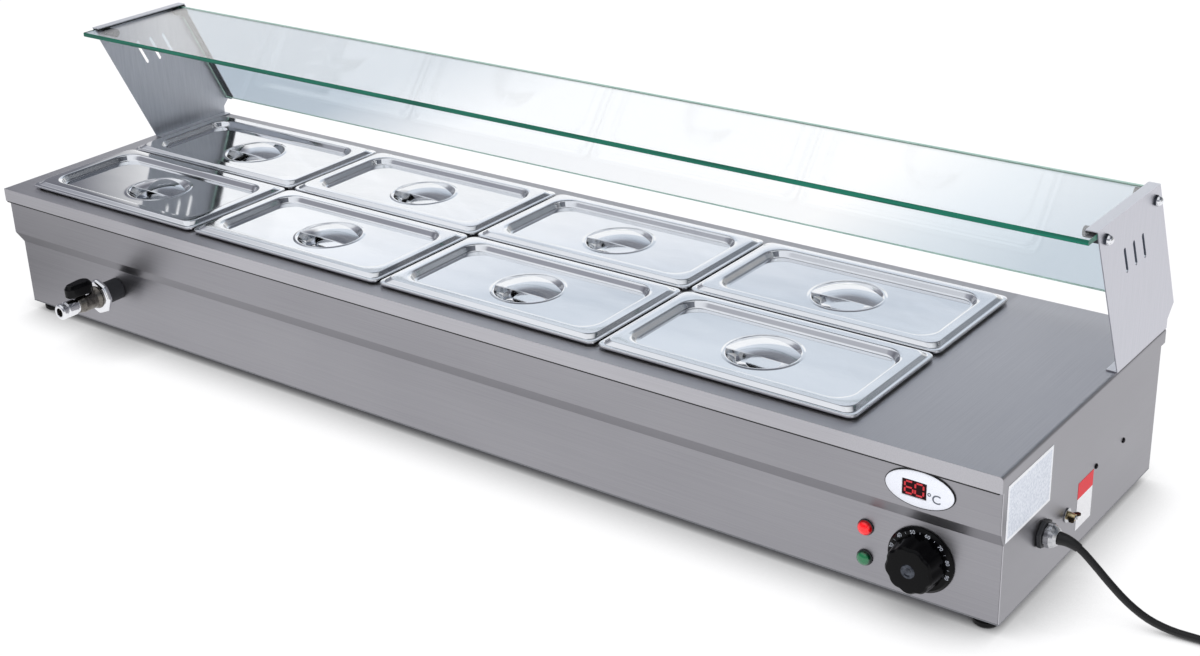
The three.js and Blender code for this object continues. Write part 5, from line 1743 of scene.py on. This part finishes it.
@dataclass
class Studio:
    """The pale floor, the soft light and the camera."""

    lens: float = 55.5125
    sensor: float = 36.0
    camera_place: Point = (1398.062, -1622.492, 1055.154)
    camera_turn: Point = (65.68, 1.893, 36.74)
    floor_reach: float = 9000.0
    floor_colour: str = "#e6e6e8"
    shaded_colour: str = "#606064"
    contact_reach: float = 90.0
    fill: float = 0.95
    lamp_place: Point = (1500, -2300, 900)
    lamp_size: float = 1800.0
    lamp_power: float = 26.0
    behind_glass: Stops = (
        (0.0, "#b9c6d2"), (0.16, "#c0ccd7"), (0.26, "#fafcff"), (0.5, WHITE), (0.56, "#e0e8ee"),
        (0.62, "#c8d3dc"), (1.0, "#c2cdd7"))
    dark_side: Point = (-0.629, -0.777, 0.0)
    right_side: Point = (0.8, 0.6, 0.0)
    bright_sky: Stops = (
        (0.0, WHITE), (0.34, WHITE), (0.37, "#f3f6fb"), (0.395, "#ccd4de"), (0.42, "#dbe2ea"),
        (0.55, "#b9c1cc"), (0.64, "#74777f"), (0.84, "#5c5f66"), (0.93, "#c2c4c8"),
        (1.0, "#e8eaec"))
    dark_sky: Stops = (
        (0.0, "#c0c1c6"), (0.12, "#aeafb5"), (0.26, "#7c7d85"), (0.36, "#6c6d75"),
        (0.44, "#85868e"), (0.58, "#9c9da5"), (0.64, "#cfd1d6"), (0.72, "#e6e8ec"),
        (1.0, "#e0e2e6"))
    right_shade: float = 0.36

    def build(self) -> None:
        """Builds the floor, the world, the lamp and the camera."""
        bpy.context.scene.view_settings.view_transform = "Standard"
        self.floor()
        self.world()
        self.lamp()
        self.camera()

    def floor(self) -> None:
        """The surface that the warmer stands on: white to the eye, with its shadow kept."""
        material = bpy.data.materials.new("studio_floor")
        tree = cleared(material)
        place = add_node(tree, "SeparateXYZ", {0: add_node(tree, "NewGeometry")}).outputs
        open_sky = add_node(tree, "AmbientOcclusion", {
            "samples": 16, "Distance": self.contact_reach * MM}).outputs["AO"]
        lift = add_node(tree, "MapRange", {
            "From Min": 0.08, "From Max": 0.86, "To Max": 0.92, "Value": open_sky})
        seen = add_node(tree, "AddShader", {
            0: add_node(tree, "BsdfDiffuse", {"Color": linear(self.shaded_colour)}),
            1: add_node(tree, "Emission", {"Color": linear(WHITE), "Strength": lift})})
        mirrored = add_node(tree, "Emission", {
            "Color": linear("#fbfbfd"), "Strength": self.mirrored_level(tree, place, open_sky)})
        along = add_node(tree, "MapRange", {"From Min": -1.6, "From Max": 1.6, "Value": place["X"]})
        through = add_node(tree, "Emission", {
            "Color": coloured(tree, along, self.behind_glass), "Strength": 1.08})
        glossy = add_node(tree, "LightPath").outputs["Is Glossy Ray"]
        plain = add_node(tree, "MixShader", {0: glossy, 1: seen, 2: mirrored})
        shown = add_node(tree, "MixShader", {0: self.straight_through(tree), 1: plain, 2: through})
        paper = add_node(tree, "BsdfDiffuse", {"Color": linear(self.floor_colour)})
        both = add_node(tree, "MixShader", {0: self.seen_plainly(tree), 1: paper, 2: shown})
        add_node(tree, "OutputMaterial", {"Surface": both})
        r = self.floor_reach * MM
        data = bpy.data.meshes.new("studio_floor")
        data.from_pydata([(-r, -r, 0), (r, -r, 0), (r, r, 0), (-r, r, 0)], [], [(0, 1, 2, 3)])
        data.materials.append(material)
        add_object("studio_floor", data)

    @staticmethod
    def mirrored_level(tree: Tree, place: bpy.types.NodeOutputs, open_sky: Feed) -> Node:
        """How bright metal shows the floor.

        Args:
            tree: The floor's nodes.
            place: Where the floor is met, in three outputs.
            open_sky: How open the floor is there: less than 1 close to the warmer.

        Returns:
            The level: less behind the warmer, at its left front corner and close to it.
        """
        behind, leftward, beside, close = (
            add_node(tree, "MapRange", {"From Min": low, "From Max": high, "To Max": top,
                                        "Value": place[axis]})
            for axis, low, high, top in (("Y", 0.25, 0.7, 1.0), ("X", 0.8, 0.2, 1.0),
                                         ("X", -0.66, -0.9, 0.5), ("Y", -0.52, -0.38, 1.0)))
        away = add_node(tree, "Math", {"operation": "MULTIPLY", 0: behind, 1: leftward})
        corner = add_node(tree, "Math", {"operation": "MULTIPLY", 0: beside, 1: close})
        level = add_node(tree, "Math", {"operation": "SUBTRACT", 0: 0.86, 1: corner})
        for change, share in ((away, -0.4), (open_sky, 0.17)):
            level = add_node(tree, "Math", {
                "operation": "MULTIPLY_ADD", 0: change, 1: share, 2: level})
        return level

    @staticmethod
    def seen_plainly(tree: Tree) -> Node:
        """1 for rays from the camera, a mirror or through glass, and 0 for other rays.

        Args:
            tree: The nodes.

        Returns:
            The level.
        """
        path = add_node(tree, "LightPath").outputs
        first = add_node(tree, "Math", {
            "operation": "MAXIMUM", 0: path["Is Camera Ray"], 1: path["Is Glossy Ray"]})
        return add_node(tree, "Math", {
            "operation": "MAXIMUM", 0: first, 1: path["Is Transmission Ray"]})

    @staticmethod
    def straight_through(tree: Tree) -> Node:
        """1 for rays that reach their end through glass without a mirror on the way.

        Args:
            tree: The nodes.

        Returns:
            The level.
        """
        path = add_node(tree, "LightPath").outputs
        direct = add_node(tree, "Math", {"operation": "LESS_THAN", 0: path["Glossy Depth"], 1: 0.5})
        return add_node(tree, "Math", {
            "operation": "MULTIPLY", 0: direct, 1: path["Is Transmission Ray"]})

    def world(self) -> None:
        """White where it is seen, plain as light, and a bright and a dark side for mirrors."""
        world = bpy.data.worlds.new("studio")
        bpy.context.scene.world = world
        tree = cleared(world)
        way = add_node(tree, "TexCoord").outputs["Generated"]
        height = add_node(tree, "SeparateXYZ", {0: way}).outputs["Z"]
        side, rightward = (
            add_node(tree, "MapRange", {
                "From Min": low, "From Max": high, "To Min": start, "To Max": end,
                "Value": add_node(tree, "VectorMath", {
                    "operation": "DOT_PRODUCT", 0: way, 1: axis})})
            for axis, low, high, start, end in (
                (self.dark_side, -0.005, 0.05, 0.0, 1.0),
                (self.right_side, 0.35, 0.7, 1.0, self.right_shade)))
        mirrored = add_node(tree, "Mix", {
            "data_type": "RGBA", "Factor": side, "A": coloured(tree, height, self.bright_sky),
            "B": coloured(tree, height, self.dark_sky)})
        strength = add_node(tree, "Math", {"operation": "MULTIPLY", 0: rightward, 1: 1.06})
        light = add_node(tree, "Background", {"Color": linear(WHITE), "Strength": self.fill})
        sky = add_node(tree, "Background", {"Color": mirrored, "Strength": strength})
        plain = add_node(tree, "Background", {"Color": linear(WHITE), "Strength": 1.0})
        path = add_node(tree, "LightPath").outputs
        lit = add_node(tree, "MixShader", {0: path["Is Glossy Ray"], 1: light, 2: sky})
        straight = add_node(tree, "Math", {
            "operation": "MAXIMUM", 0: path["Is Camera Ray"], 1: self.straight_through(tree)})
        mix = add_node(tree, "MixShader", {0: straight, 1: lit, 2: plain})
        add_node(tree, "OutputWorld", {"Surface": mix})

    def lamp(self) -> None:
        """A large soft lamp that faces the warmer, and that its bright metal doesn't mirror."""
        data = bpy.data.lights.new("front_fill", "AREA")
        data.shape = "SQUARE"
        data.size = self.lamp_size * MM
        data.energy = self.lamp_power
        lamp = add_object("front_fill", data)
        lamp.visible_glossy = False
        lamp.location = Vector(self.lamp_place) * MM
        lamp.rotation_euler = (-lamp.location).to_track_quat("-Z", "Y").to_euler()

    def camera(self) -> None:
        """The camera at the photograph's place, fitted to the warmer's corners."""
        data = bpy.data.cameras.new("camera")
        data.lens = self.lens
        data.sensor_width = self.sensor
        camera = add_object("camera", data)
        camera.location = Vector(self.camera_place) * MM
        camera.rotation_euler = Euler([math.radians(a) for a in self.camera_turn])
        bpy.context.scene.camera = camera


def main() -> None:
    """Builds the studio and the warmer."""
    logging.basicConfig(level=logging.INFO, format="%(name)s: %(message)s")
    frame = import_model()
    Studio().build()
    MainsLead().build()
    nodes = frame["nodes"]
    Housing().build(nodes)
    Bath().build(nodes)
    Pans().build()
    Lids().build()
    Guard().build(nodes)
    Controls().build()
    Tap().build()
    Services().build()


if __name__ == "__main__":
    main()
